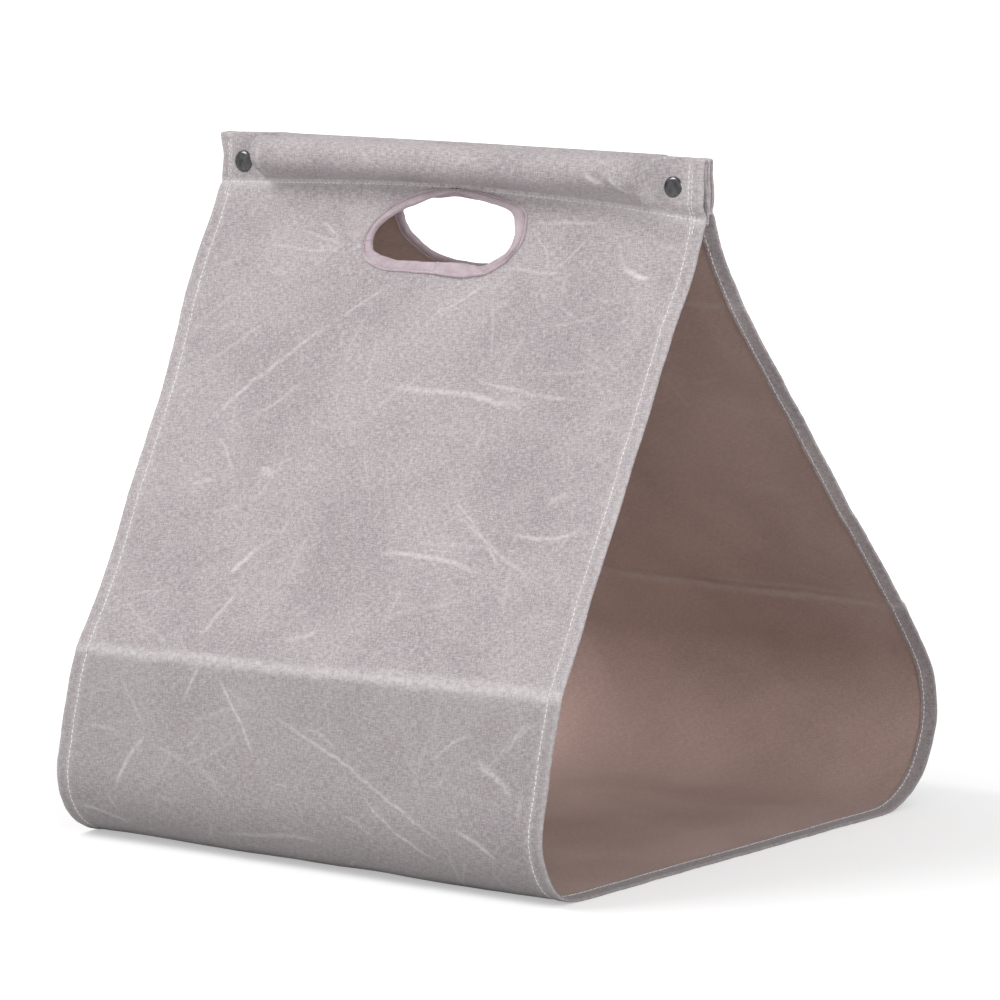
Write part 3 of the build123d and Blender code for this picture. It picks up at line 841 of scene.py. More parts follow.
def cloth_piece(name, grid, first, last, hole=None):
    """A stretch of the cloth between two rows of the grid, as a closed shell. The ring is carried along the
    rows, the hand hole is cut from its outer and inner faces and gets a rim, and the two ends are
    closed."""
    ring = ClothRing(len(grid.columns))
    hem, count, column = HEM_CELLS, ring.count, ring.column
    rows = slice(first, last + 1)
    steps = last - first + 1
    outward = grid.outward[column, rows]
    points = (
        grid.outer[column, rows]
        - outward * ring.depth[:, None, None]
        + grid.across_arrow[column, rows] * ring.aside[:, None, None]
    )
    under = ring.depth > 0.5 * cloth().thickness
    facing = outward * np.where(under, -1, 1)[:, None, None]
    kind = np.zeros((ring.size, steps - 1), int)
    kind[ring.inner_first - 1 : ring.hem_left] = 1
    keep = np.ones(kind.shape, bool)
    rim = []
    if hole is not None:
        cut = hole_cells(grid, first, last, hole)
        middle = slice(hem, count - 1 - hem)
        keep[: count - 1] = ~cut
        keep[ring.inner_mirror - 1 - np.arange(count - 1)[middle]] = ~cut[middle]
        rim = ring.hole_rim(cut, steps).tolist()
    flat_points = points.reshape(-1, 3)
    faces = grid_faces(ring.size, steps, wrap_rows=True)[keep]
    face_list = outward_order(flat_points, faces, facing.reshape(-1, 3)).tolist() + rim
    face_list += ring.end_cap(0, steps) + [face[::-1] for face in ring.end_cap(steps - 1, steps)]
    materials = kind[keep].tolist()
    materials += [1] * (len(face_list) - len(materials))
    piece = new_object(name, flat_points, face_list, [cloth_outside(), cloth_inside()], materials)
    length = grid.length[column, rows] * grid.wall.faces * -1
    across = np.broadcast_to((grid.columns[column] + ring.aside)[:, None], length.shape)
    give_cloth_map(piece, np.stack([across, length], axis=2).reshape(-1, 2))
    under = under[:, None]
    places = np.broadcast_to(grid.columns[column][:, None], length.shape), grid.level[column, rows]
    outer_rows, inner_rows = mark_rows(grid.wall, grid.crease_down, grid.bend_down)
    field = np.where(under[..., None, None], mark_field(*places, inner_rows), mark_field(*places, outer_rows))
    wear = np.where(under, 0, grid.wear()[column, rows])
    # the painted shade below the crease, one value for each point
    soil = grid.soil()[column, rows]
    give_marks(piece, field.reshape(-1, MARK_LAYERS, 3), wear.ravel(), soil.ravel())
    return piece


def capsule_pattern(sides, length, radius):
    """A small closed capsule along its first axis: five rings whose radius follows a rounded bar, closed by
    fans."""
    along = np.array([-0.5, -0.42, 0, 0.42, 0.5]) * length
    width = np.array([0.35, 0.85, 1.0, 0.85, 0.35]) * radius
    turn = np.arange(sides) * math.tau / sides
    rings = np.stack([
        np.repeat(along, sides),
        (width[:, None] * np.cos(turn)).ravel(),
        (width[:, None] * np.sin(turn)).ravel(),
    ], axis=1)
    quads = grid_faces(len(along), sides, wrap_columns=True).reshape(-1, 4)
    ends = [list(range(sides)), list(range(len(rings) - 1, len(rings) - 1 - sides, -1))]
    return rings, quads, ends


def stitch_piece(name, centres, ahead, up, material, length, radius):
    """A row of stitches as one mesh: the same small capsule set at each centre, along its arrow ahead."""
    aside = np.cross(up, ahead)
    pattern, quads, ends = capsule_pattern(6, length, radius)
    points = (
        centres[:, None]
        + ahead[:, None] * pattern[None, :, 0:1]
        + aside[:, None] * pattern[None, :, 1:2] * 1.15
        + up[:, None] * pattern[None, :, 2:3] * 0.8
    )
    shift = np.arange(len(centres))[:, None, None] * len(pattern)
    faces = (quads[None] + shift).reshape(-1, 4)
    outward = (points - centres[:, None]).reshape(-1, 3)
    flat_points = points.reshape(-1, 3)
    ordered = outward_order(flat_points, faces, outward)
    turned = ordered is not faces
    face_list = ordered.tolist()
    for end in ends:
        fan = np.array(end)[None] + shift[:, 0]
        face_list += (fan[:, ::-1] if turned else fan).tolist()
    return new_object(name, flat_points, face_list, [material], sharp=75)


def spaced_along(points, outward, pitch, left_over):
    """Places one pitch apart along a line on the cloth: centres, arrows ahead and arrows up, square to each
    other."""
    lengths = path_length(points)
    middles = np.arange(pitch / 2, lengths[-1] - left_over, pitch)
    lines = points, outward, np.gradient(points, axis=0)
    centres, up, ahead = (points_at(middles, lengths, line) for line in lines)
    up = unit(up)
    return centres, unit(ahead - up * np.sum(ahead * up, axis=1, keepdims=True)), up


def stitches_along(grid, x, first, last, depth, sink, lengthways=True):
    """Where the stitches of one line lie: centres, arrows ahead and arrows up, one every stitch pitch.
    The line is sampled finely on the cloth, and small waves set the stitches aside and turn them a little."""
    if lengthways:
        rows = np.linspace(first, last, (last - first) * 2 + 1)
        place = np.full(len(rows), x)
    else:
        place = np.linspace(-x, x, 400)
        rows = np.full(len(place), float(first))
    pitch = stitching().pitch
    centres, ahead, up = spaced_along(*grid.sample(place, rows), pitch, pitch / 2)
    side = -1.0 if depth > 0 else 1.0
    order = np.arange(len(centres))
    wobble = 0.18 * MM * np.sin(order * 2.4 + x * 900)
    centres = centres - up * depth + up * side * sink + np.cross(up, ahead) * wobble[:, None]
    tilt = 0.12 * np.cos(order * 1.9)[:, None]
    return centres, unit(ahead + np.cross(up, ahead) * tilt), up * side


# Finishes

SHADER_INPUTS = {
    "colour": "Base Color",
    "roughness": "Roughness",
    "metallic": "Metallic",
    "specular": "Specular IOR Level",
    "sheen": "Sheen Weight",
    "sheen_roughness": "Sheen Roughness",
    "emission": "Emission Color",
    "glow": "Emission Strength",
    "normal": "Normal",
}


def new_material(name):
    """A new node material, as the maker of its nodes."""
    material = bpy.data.materials.new(name)
    material.use_nodes = True
    return Nodes(material.node_tree, material)


class Nodes:
    """Makes and joins the nodes of one tree. A socket or a number can be given wherever a value is needed."""

    def __init__(self, tree, material=None):
        self.tree = tree
        self.material = material

    def join(self, value, socket):
        if isinstance(value, bpy.types.NodeSocket):
            self.tree.links.new(value, socket)
        else:
            socket.default_value = value

    def node(self, kind, inputs=None, **settings):
        made = self.tree.nodes.new(kind)
        for key, value in settings.items():
            setattr(made, key, value)
        for key, value in (inputs or {}).items():
            self.join(value, made.inputs[key])
        return made

    def math(self, operation, first, second=0.5, third=0.0):
        made = self.node("ShaderNodeMath", {0: first, 1: second, 2: third}, operation=operation)
        return made.outputs[0]

    def noise(self, place, scale, detail=3.0, roughness=0.55, distortion=0.0):
        inputs = {
            "Vector": place, "Scale": scale, "Detail": detail, "Roughness": roughness, "Distortion": distortion,
        }
        return self.node("ShaderNodeTexNoise", inputs).outputs[0]

    def ramp(self, value, start, end, low=0.0, high=1.0):
        inputs = {"Value": value, "From Min": start, "From Max": end, "To Min": low, "To Max": high}
        made = self.node("ShaderNodeMapRange", inputs, interpolation_type="SMOOTHSTEP")
        return made.outputs[0]

    def mix(self, share, first, second, blend="MIX"):
        made = self.node("ShaderNodeMix", data_type="RGBA", blend_type=blend)
        for index, value in ((0, share), (6, first), (7, second)):
            self.join(value, made.inputs[index])
        return made.outputs[2]

    def bump(self, height, distance, strength=1.0, normal=None):
        made = self.node("ShaderNodeBump", {"Height": height, "Distance": distance, "Strength": strength})
        if normal is not None:
            self.join(normal, made.inputs["Normal"])
        return made.outputs[0]

    def stretched(self, place, across, along, away=1.0):
        inputs = {0: place, 1: (across, along, away)}
        return self.node("ShaderNodeVectorMath", inputs, operation="MULTIPLY").outputs[0]

    def tints(self, colour, *rows):
        """Lays further colours over the first: each shows where the smooth step of its value lets it."""
        for value, limits, screen in rows:
            colour = self.mix(self.ramp(value, *limits), colour, on_screen(*screen))
        return colour

    def ribs(self, value, pitch):
        """A row of round ribs: the sine of the place across them. Its size without its sign is their
        height."""
        return self.math("SINE", self.math("MULTIPLY", value, math.pi / pitch))

    def cloth_place(self):
        return self.node("ShaderNodeUVMap", uv_map="cloth").outputs[0]

    def object_place(self):
        return self.node("ShaderNodeTexCoord").outputs["Object"]

    def held(self, name, output="Fac"):
        return self.node("ShaderNodeAttribute", attribute_name=name).outputs[output]

    def parts(self, vector):
        return self.node("ShaderNodeSeparateXYZ", {0: vector}).outputs

    def surface(self, **values):
        """Gives the material's shader these values and returns the material."""
        inputs = self.tree.nodes["Principled BSDF"].inputs
        for name, value in values.items():
            self.join(value, inputs[SHADER_INPUTS[name]])
        return self.material


def solid(colour):
    """A colour property as the four numbers that a colour socket takes."""
    return (*colour[:3], 1.0)


def from_screen(red, green, blue):
    """A colour picked on the screen, 0 to 255, as the linear numbers that a shader takes."""
    values = np.array([red, green, blue]) / 255
    linear = np.where(values <= 0.04045, values / 12.92, ((values + 0.055) / 1.055) ** 2.4)
    return tuple(float(v) for v in linear)


def on_screen(red, green, blue):
    """A colour picked on the screen as the four numbers that a colour socket takes."""
    return solid(from_screen(red, green, blue))


def marks_shown(nodes):
    """The whitish marks from the mesh's mark layers: each holds the distance to its nearest mark, how
    strongly it shows and its half width. A smooth step takes it from its middle line to its soft sides."""
    total = 0.0
    for layer in range(MARK_LAYERS):
        parts = nodes.parts(nodes.held(f"mark_{layer}", "Vector"))
        body = nodes.ramp(nodes.math("DIVIDE", nodes.math("ABSOLUTE", parts[0]), parts[2]), 1.0, 0.0)
        total = nodes.math("MAXIMUM", nodes.math("MULTIPLY", body, parts[1]), total)
    return total


def weave(nodes, place):
    """A plain weave's height, 0 to 1: the product of two sines tells which thread is on top, and each
    thread is a rounded rib."""
    parts = nodes.parts(place)
    across, along = (nodes.ribs(parts[k], cloth().thread_pitch) for k in (0, 1))
    on_top = nodes.math("MULTIPLY_ADD", nodes.math("MULTIPLY", across, along), 0.5, 0.5)
    rib_across = nodes.math("MULTIPLY", nodes.math("ABSOLUTE", across), on_top)
    under = nodes.math("SUBTRACT", 1.0, on_top)
    rib_along = nodes.math("MULTIPLY", nodes.math("ABSOLUTE", along), under)
    return nodes.math("MAXIMUM", rib_across, rib_along)


_made = {}


def once(make):
    """Makes a finish the first time it is asked for, and gives the same one after that."""
    def give():
        if make.__name__ not in _made:
            _made[make.__name__] = make()
        return _made[make.__name__]
    return give


def thread_grain(nodes, place):
    """Uneven threads: two noises drawn out along and across the cloth, added together around one half."""
    lengthways = nodes.noise(nodes.stretched(place, 1350, 240), 1.0, 2.0)
    crossways = nodes.noise(nodes.stretched(place, 210, 1250), 1.0, 2.0)
    return nodes.math("MULTIPLY", nodes.math("ADD", lengthways, crossways), 0.5)


@once
def cloth_outside():
    """Waxed canvas, outer face: a grey mauve ground with cloudy wax, uneven threads, pale specks and whitish
    marks where the wax has cracked along old creases."""
    nodes = new_material("waxed_canvas_outside")
    place = nodes.cloth_place()
    height = weave(nodes, place)
    grain = thread_grain(nodes, place)
    cloud = nodes.noise(place, 13.0, 4.0, 0.6, 0.4)
    small_cloud = nodes.noise(place, 70.0, 4.0, 0.65)
    colour = nodes.mix(nodes.ramp(cloud, 0.32, 0.68), solid(cloth().outer_dark), solid(cloth().outer_light))
    colour = nodes.tints(
        colour,
        (small_cloud, (0.35, 0.7, 0.0, 0.35), (196, 189, 189)),
        (grain, (0.38, 0.56, 0.46, 0.0), (122, 114, 117)),
        (grain, (0.49, 0.64, 0.0, 0.55), (216, 209, 210)),
        # painted shade in the weave's hollows, where the threads are low
        (height, (0.30, 0.0, 0.0, 0.5), (122, 114, 116)),
    )
    colour = nodes.tints(colour, (nodes.noise(place, 1000.0, 1.0), (0.62, 0.76, 0.0, 0.45), (232, 228, 226)))
    # painted shade: the cloth darkens below the crease, patchy with the clouds
    patchy_shade = nodes.math("MULTIPLY", nodes.held("soil"), nodes.ramp(cloud, 0.3, 0.7, 0.8, 1.1))
    colour = nodes.mix(patchy_shade, colour, on_screen(118, 113, 113))
    wear = nodes.held("wear")
    marks = nodes.math("MAXIMUM", marks_shown(nodes), wear)
    worn = nodes.noise(place, 260.0, 4.0, 0.75)
    marks = nodes.math("MULTIPLY", marks, nodes.ramp(worn, 0.30, 0.66, 0.2, 1.2))
    marks = nodes.math("MULTIPLY", marks, nodes.ramp(height, 0.0, 0.6, 0.6, 1.0))
    marks = nodes.math("MINIMUM", nodes.math("MULTIPLY", marks, cloth().mark_strength), 1.0)
    colour = nodes.mix(marks, colour, on_screen(226, 221, 221))
    roughness = nodes.ramp(small_cloud, 0.3, 0.7, 0.66, 0.82)
    threads = nodes.bump(height, 0.00022, 0.9)
    uneven = nodes.bump(grain, 0.0005, 0.7, threads)
    crumple = nodes.bump(nodes.noise(place, 120.0, 4.0, 0.6), 0.0011, 0.35, uneven)
    return nodes.surface(
        colour=colour, roughness=roughness, specular=0.28, sheen=0.12, sheen_roughness=0.5, normal=crumple,
    )


@once
def cloth_inside():
    """The inner face of the canvas: a smoother brown taupe with soft clouds, faint creases and the same
    threads."""
    nodes = new_material("waxed_canvas_inside")
    place = nodes.cloth_place()
    height = weave(nodes, place)
    grain = thread_grain(nodes, place)
    cloud = nodes.noise(place, 10.0, 3.0, 0.55, 0.5)
    colour = nodes.mix(nodes.ramp(cloud, 0.3, 0.7), solid(cloth().inner_dark), solid(cloth().inner_light))
    colour = nodes.tints(
        colour,
        (grain, (0.42, 0.62, 0.22, 0.0), (92, 76, 72)),
        (grain, (0.52, 0.7, 0.0, 0.25), (168, 150, 144)),
        # painted shade in the weave's hollows, where the threads are low
        (height, (0.3, 0.0, 0.0, 0.35), (88, 72, 68)),
    )
    marks = marks_shown(nodes)
    worn = nodes.noise(place, 180.0, 3.0, 0.7)
    marks = nodes.math("MULTIPLY", marks, nodes.ramp(worn, 0.3, 0.62, 0.3, 1.0))
    colour = nodes.mix(marks, colour, on_screen(190, 176, 170))
    roughness = nodes.ramp(cloud, 0.3, 0.7, 0.7, 0.82)
    threads = nodes.bump(height, 0.0002, 0.8)
    uneven = nodes.bump(grain, 0.0004, 0.6, threads)
    clouded = nodes.bump(cloud, 0.004, 0.25, uneven)
    return nodes.surface(
        colour=colour, roughness=roughness, specular=0.22, sheen=0.08, sheen_roughness=0.5, normal=clouded,
    )


@once
def tape_finish():
    """Binding tape: a rosier grey with a fine rib across, painted shade in its hollows, paler on its worn
    edges."""
    nodes = new_material("binding_tape")
    place = nodes.cloth_place()
    parts = nodes.parts(place)
    rib = nodes.math("ABSOLUTE", nodes.ribs(parts[0], 0.75 * MM))
    fine = nodes.math("ABSOLUTE", nodes.ribs(parts[1], 0.6 * MM))
    grain = nodes.noise(place, 900.0, 2.0)
    cloud = nodes.noise(place, 90.0, 4.0, 0.65)
    colour = nodes.mix(nodes.ramp(cloud, 0.3, 0.7), solid(cloth().tape_dark), solid(cloth().tape_light))
    colour = nodes.tints(
        colour,
        # painted shade in the rib's hollows
        (rib, (0.35, 0.0, 0.0, 0.35), (128, 112, 118)),
        (grain, (0.55, 0.75, 0.0, 0.45), (222, 212, 215)),
        (grain, (0.42, 0.28, 0.0, 0.35), (136, 120, 126)),
    )
    roughness = nodes.ramp(grain, 0.3, 0.7, 0.7, 0.85)
    threads = nodes.bump(nodes.math("MULTIPLY", rib, fine), 0.0002, 0.9)
    uneven = nodes.bump(nodes.noise(place, 260.0, 3.0), 0.0008, 0.6, threads)
    return nodes.surface(colour=colour, roughness=roughness, specular=0.2, sheen=0.15, normal=uneven)


@once
def thread_finish():
    """Sewing thread: off-white, a little greyer here and there, with a fine twist."""
    nodes = new_material("sewing_thread")
    place = nodes.object_place()
    cloud = nodes.noise(place, 160.0, 2.0)
    colour = nodes.mix(nodes.ramp(cloud, 0.3, 0.7), solid(stitching().shade), solid(stitching().colour))
    wave = {"Vector": place, "Scale": 900.0, "Distortion": 1.0}
    twist = nodes.node("ShaderNodeTexWave", wave, bands_direction="DIAGONAL").outputs[1]
    return nodes.surface(colour=colour, roughness=0.6, sheen=0.2, normal=nodes.bump(twist, 0.0001, 0.6))


@once
def tape_thread_finish():
    """Thread of the tape: close to the tape's own colour, a little paler."""
    nodes = new_material("tape_thread")
    place = nodes.object_place()
    cloud = nodes.noise(place, 200.0, 2.0)
    colour = nodes.mix(nodes.ramp(cloud, 0.3, 0.7), on_screen(186, 171, 177), on_screen(206, 193, 198))
    uneven = nodes.bump(nodes.noise(place, 2500.0, 2.0), 0.0001, 0.6)
    return nodes.surface(colour=colour, roughness=0.65, normal=uneven)


def metal_finish(name, dark, light, low_roughness, high_roughness):
    """Plated metal: two close tones in soft clouds, fine scratches and a worn, duller bloom in its
    roughness."""
    nodes = new_material(name)
    place = nodes.object_place()
    cloud = nodes.noise(place, 260.0, 4.0, 0.6)
    scratch = nodes.noise(nodes.stretched(place, 900, 5200, 2600), 1.0, 2.0)
    colour = nodes.mix(nodes.ramp(cloud, 0.3, 0.7), solid(dark), solid(light))
    colour = nodes.tints(colour, (scratch, (0.66, 0.74, 0.0, 0.35), (205, 205, 205)))
    roughness = nodes.ramp(cloud, 0.3, 0.7, low_roughness, high_roughness)
    scratched = nodes.bump(scratch, 0.00003, 0.5)
    return nodes.surface(colour=colour, roughness=roughness, metallic=1.0, normal=scratched)


@once
def cap_finish():
    """Gunmetal of the press studs' caps."""
    return metal_finish("gunmetal_cap", fittings().cap_dark, fittings().cap_light, 0.16, 0.28)


@once
def stud_finish():
    """Brighter plated metal of the sockets, springs, studs and posts."""
    return metal_finish("plated_stud", fittings().stud_dark, fittings().stud_light, 0.22, 0.36)


@once
def wood_finish():
    """Turned beech: long grain along the dowel, fine dark flecks and darker end grain in rings."""
    nodes = new_material("beech_dowel")
    place = nodes.object_place()
    long_grain = nodes.noise(nodes.stretched(place, 9, 240, 240), 1.0, 5.0, 0.6, 0.6)
    fleck = nodes.noise(nodes.stretched(place, 130, 1500, 1500), 1.0, 2.0)
    wave = {"Vector": nodes.stretched(place, 1, 260, 200), "Scale": 0.9, "Distortion": 3.0, "Detail": 3.0}
    rings = nodes.node("ShaderNodeTexWave", wave, wave_type="RINGS", rings_direction="X").outputs[1]
    dark, light = solid(fittings().wood_dark), solid(fittings().wood_light)
    colour = nodes.mix(nodes.ramp(long_grain, 0.3, 0.7), dark, light)
    colour = nodes.tints(
        colour, (rings, (0.4, 1.0, 0.0, 0.25), (170, 128, 86)), (fleck, (0.62, 0.72, 0.0, 0.6), (140, 98, 62)),
    )
    roughness = nodes.ramp(long_grain, 0.3, 0.7, 0.5, 0.62)
    return nodes.surface(colour=colour, roughness=roughness, normal=nodes.bump(long_grain, 0.0003, 0.5))


# Settings that the panel shows

def colour_setting(name, description, red, green, blue):
    """A colour property whose default is a colour picked on the screen."""
    return bpy.props.FloatVectorProperty(
        name=name, description=description, subtype="COLOR", size=3, min=0.0, max=1.0,
        default=from_screen(red, green, blue),
    )


def length_setting(name, description, millimetres, least, most):
    """A length property in metres whose limits are given in millimetres."""
    return bpy.props.FloatProperty(
        name=name, description=description, subtype="DISTANCE", unit="LENGTH",
        default=millimetres * MM, min=least * MM, max=most * MM, precision=5,
    )


class CarrierClothSettings(bpy.types.PropertyGroup):
    """The canvas and the binding tape."""

    thickness: length_setting("Cloth Thickness", "Thickness of one layer of canvas", 1.15, 0.6, 1.2)
    hem_width: length_setting("Hem Width", "How far each side edge is folded to the inside", 12, 8, 16)
    thread_pitch: length_setting("Thread Pitch", "Distance between two neighbouring threads", 0.72, 0.3, 2)
    fold_depth: length_setting("Fold Depth", "How far the soft waves stand in and out", 1.0, 0, 2.5)
    mark_strength: bpy.props.FloatProperty(
        name="Mark Strength", description="How white the cracked wax shows", default=1.0, min=0.0, max=1.5,
    )
    outer_light: colour_setting("Outer Light", "Light tone of the outer face", 195, 186, 188)
    outer_dark: colour_setting("Outer Dark", "Dark tone of the outer face", 175, 166, 169)
    inner_light: colour_setting("Inner Light", "Light tone of the inner face", 196, 170, 161)
    inner_dark: colour_setting("Inner Dark", "Dark tone of the inner face", 182, 156, 148)
    tape_light: colour_setting("Tape Light", "Light tone of the binding tape", 210, 194, 201)
    tape_dark: colour_setting("Tape Dark", "Dark tone of the binding tape", 188, 171, 178)


class CarrierStitchSettings(bpy.types.PropertyGroup):
    """The sewing thread and its stitches."""

    pitch: length_setting("Stitch Pitch", "Distance from one stitch to the next", 3.4, 2, 6)
    length: length_setting("Stitch Length", "Length of the thread that shows in one stitch", 2.6, 1, 5)
    radius: length_setting("Thread Radius", "Half the thickness of the thread", 0.4, 0.1, 0.8)
    from_edge: length_setting(
        "Stitches From Edge", "Distance of the hem's stitches from the cloth's edge", 9.8, 6, 14,
    )
    colour: colour_setting("Thread Light", "Light tone of the thread", 240, 237, 236)
    shade: colour_setting("Thread Dark", "Dark tone of the thread", 218, 213, 213)


class CarrierFittingSettings(bpy.types.PropertyGroup):
    """The press studs and the dowels."""

    cap_rise: length_setting("Cap Rise", "Height of the press stud's cap above the cloth", 2.7, 1, 4)
    cap_light: colour_setting("Cap Light", "Light tone of the caps", 118, 117, 119)
    cap_dark: colour_setting("Cap Dark", "Dark tone of the caps", 88, 87, 89)
    stud_light: colour_setting("Stud Light", "Light tone of the sockets and studs", 178, 176, 172)
    stud_dark: colour_setting("Stud Dark", "Dark tone of the sockets and studs", 150, 148, 145)
    wood_light: colour_setting("Wood Light", "Light tone of the dowels", 218, 182, 138)
    wood_dark: colour_setting("Wood Dark", "Dark tone of the dowels", 194, 152, 106)


class CarrierStageSettings(bpy.types.PropertyGroup):
    """The floor, the light and the camera."""

    azimuth: bpy.props.FloatProperty(
        name="Azimuth", description="Camera's turn round the carrier, from the front", subtype="ANGLE",
        default=math.radians(36.9),
    )
    elevation: bpy.props.FloatProperty(
        name="Elevation", description="Camera's height above the horizon", subtype="ANGLE",
        default=math.radians(8.0),
    )
    distance: length_setting("Camera Distance", "Distance of the camera from the carrier", 3800, 500, 9000)
    aim_height: length_setting("Aim Height", "Height of the point that the camera looks at", 218.1, 0, 600)
    aim_across: length_setting("Aim Across", "That point's place along the ridge", -3.5, -300, 300)
    lens: bpy.props.FloatProperty(
        name="Lens", description="Focal length of the camera in millimetres", default=202.96, min=20, max=400,
    )
    floor_colour: colour_setting("Floor", "Colour of the floor and the background", 216, 216, 216)
    world_strength: bpy.props.FloatProperty(
        name="World Strength", description="Even light from all round", default=0.6, min=0.0, max=2.0,
    )
    key_power: bpy.props.FloatProperty(
        name="Key Power", description="Power of the large lamp at the upper left", default=74.0, min=0.0,
        unit="POWER",
    )
    fill_power: bpy.props.FloatProperty(
        name="Fill Power", description="Power of the soft lamp at the right", default=32.0, min=0.0,
        unit="POWER",
    )


def cloth():
    return bpy.context.scene.carrier_cloth


def stitching():
    return bpy.context.scene.carrier_stitches


def fittings():
    return bpy.context.scene.carrier_fittings


@once
def grids():
    """The cloth of both sides, worked out once and shared by all that lies on it."""
    return {wall.name: ClothGrid(wall) for wall in WALLS}


# How far above the crease the upper stretch of the cloth starts, and how far the crease and the seam bend
UPPER_STRETCH_START = 60 * MM
CREASE_BEND = 12 * MM
SEAM_BEND = 7 * MM


def stretches(grid):
    """The three stretches that each side of the cloth is made in, with the two bodies that each runs between
    and the two places where it starts and stops to bend. They part where the cloth doesn't bend."""
    wall = grid.wall
    heights = grid.outer[len(grid.columns) // 2, : grid.seam_row, 2]
    turn_up = int(np.argmax(heights > FLOOR_CLEARED))
    parting = (wall.corner_end + wall.crease) / 2, wall.crease + wall.upper_rise * UPPER_STRETCH_START
    low, high = (turn_up + int(np.argmax(heights[turn_up:] > place[1])) for place in parting)
    end = grid.length.shape[1] - 1
    lower, upper, ridge = (f"{wall.name}_{part}" for part in ("lower", "wall", "ridge"))
    corner = wall.place(wall.corner_start, 0), wall.place(*wall.corner_end)
    crease = (
        wall.place(*(wall.crease - wall.lower_rise * CREASE_BEND)),
        wall.place(*(wall.crease + wall.upper_rise * CREASE_BEND)),
    )
    seam = wall.place(*wall.seam), wall.place(wall.seam[0], wall.seam[1] + SEAM_BEND)
    return (
        ("floor", 0, low, "floor", lower, *corner),
        ("crease", low, high, lower, upper, *crease),
        ("wall", high, end, upper, ridge, *seam),
    )


class CARRIER_OT_cloth(bpy.types.Operator):
    """Makes the strip of waxed canvas: floor, walls and sleeves, with hems and hand holes"""

    bl_idname = "carrier.cloth"
    bl_label = "Cloth"

    def execute(self, context):
        for grid in grids().values():
            wall = grid.wall
            heading, inner, _ = hole_rays(wall)
            cut = from_middle(heading, inner + CLOTH_CUT_FROM_EDGE)
            for name, first, last, low_body, high_body, start, end in stretches(grid):
                hole = cut if name == "wall" else None
                piece = cloth_piece(f"{wall.name}_{name}_cloth", grid, first, last, hole)
                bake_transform(piece)
                nodes = {
                    "floor": ("floor_panel", f"{wall.name}_lower_panel"),
                    "crease": (f"{wall.name}_lower_panel", f"{wall.name}_upper_panel"),
                    "wall": (f"{wall.name}_upper_panel", f"{wall.name}_sleeve"),
                }[name]
                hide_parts(*nodes)
        return {"FINISHED"}


# How deep the stitches lie in the cloth, where the seam's row ends and how far a second row stands off
# the first
OUTER_SINK = 0.05 * MM
INNER_SINK = 0.02 * MM
SEAM_SINK = 0.1 * MM
SEAM_INSET = 3 * MM
SECOND_ROW = 2.2 * MM


class CARRIER_OT_stitches(bpy.types.Operator):
    """Makes the stitches of the hems and of the sleeves' seams, with a short second row at each end"""

    bl_idname = "carrier.stitches"
    bl_label = "Stitches"

    def execute(self, context):
        sewn = stitching()
        line = HALF_WIDTH - sewn.from_edge
        layers = 2 * cloth().thickness
        for grid in grids().values():
            wall, seam = grid.wall, grid.seam_row
            for name, first, last, low_body, high_body, start, end in stretches(grid):
                to_ridge = name == "wall"
                stop = seam + LOOP_FLANK_STEPS + 4 if to_ridge else last
                inner_stop = seam - 2 if to_ridge else last
                found = []
                for x in (-line, line):
                    found.append(stitches_along(grid, x, first, stop, 0.0, OUTER_SINK))
                    found.append(stitches_along(grid, x, first, inner_stop, layers, INNER_SINK))
                if to_ridge:
                    seam_end = HALF_WIDTH - SEAM_INSET
                    found.append(stitches_along(grid, seam_end, seam, None, 0.0, SEAM_SINK, lengthways=False))
                    for x in (-line - SECOND_ROW, line + SECOND_ROW):
                        found.append(stitches_along(grid, x, seam - 4, stop - 6, 0.0, OUTER_SINK))
                centres, ahead, up = (np.concatenate(part) for part in zip(*found))
                piece = stitch_piece(
                    f"{wall.name}_{name}_stitches", centres, ahead, up, thread_finish(),
                    sewn.length, sewn.radius,
                )
                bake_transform(piece)
        return {"FINISHED"}


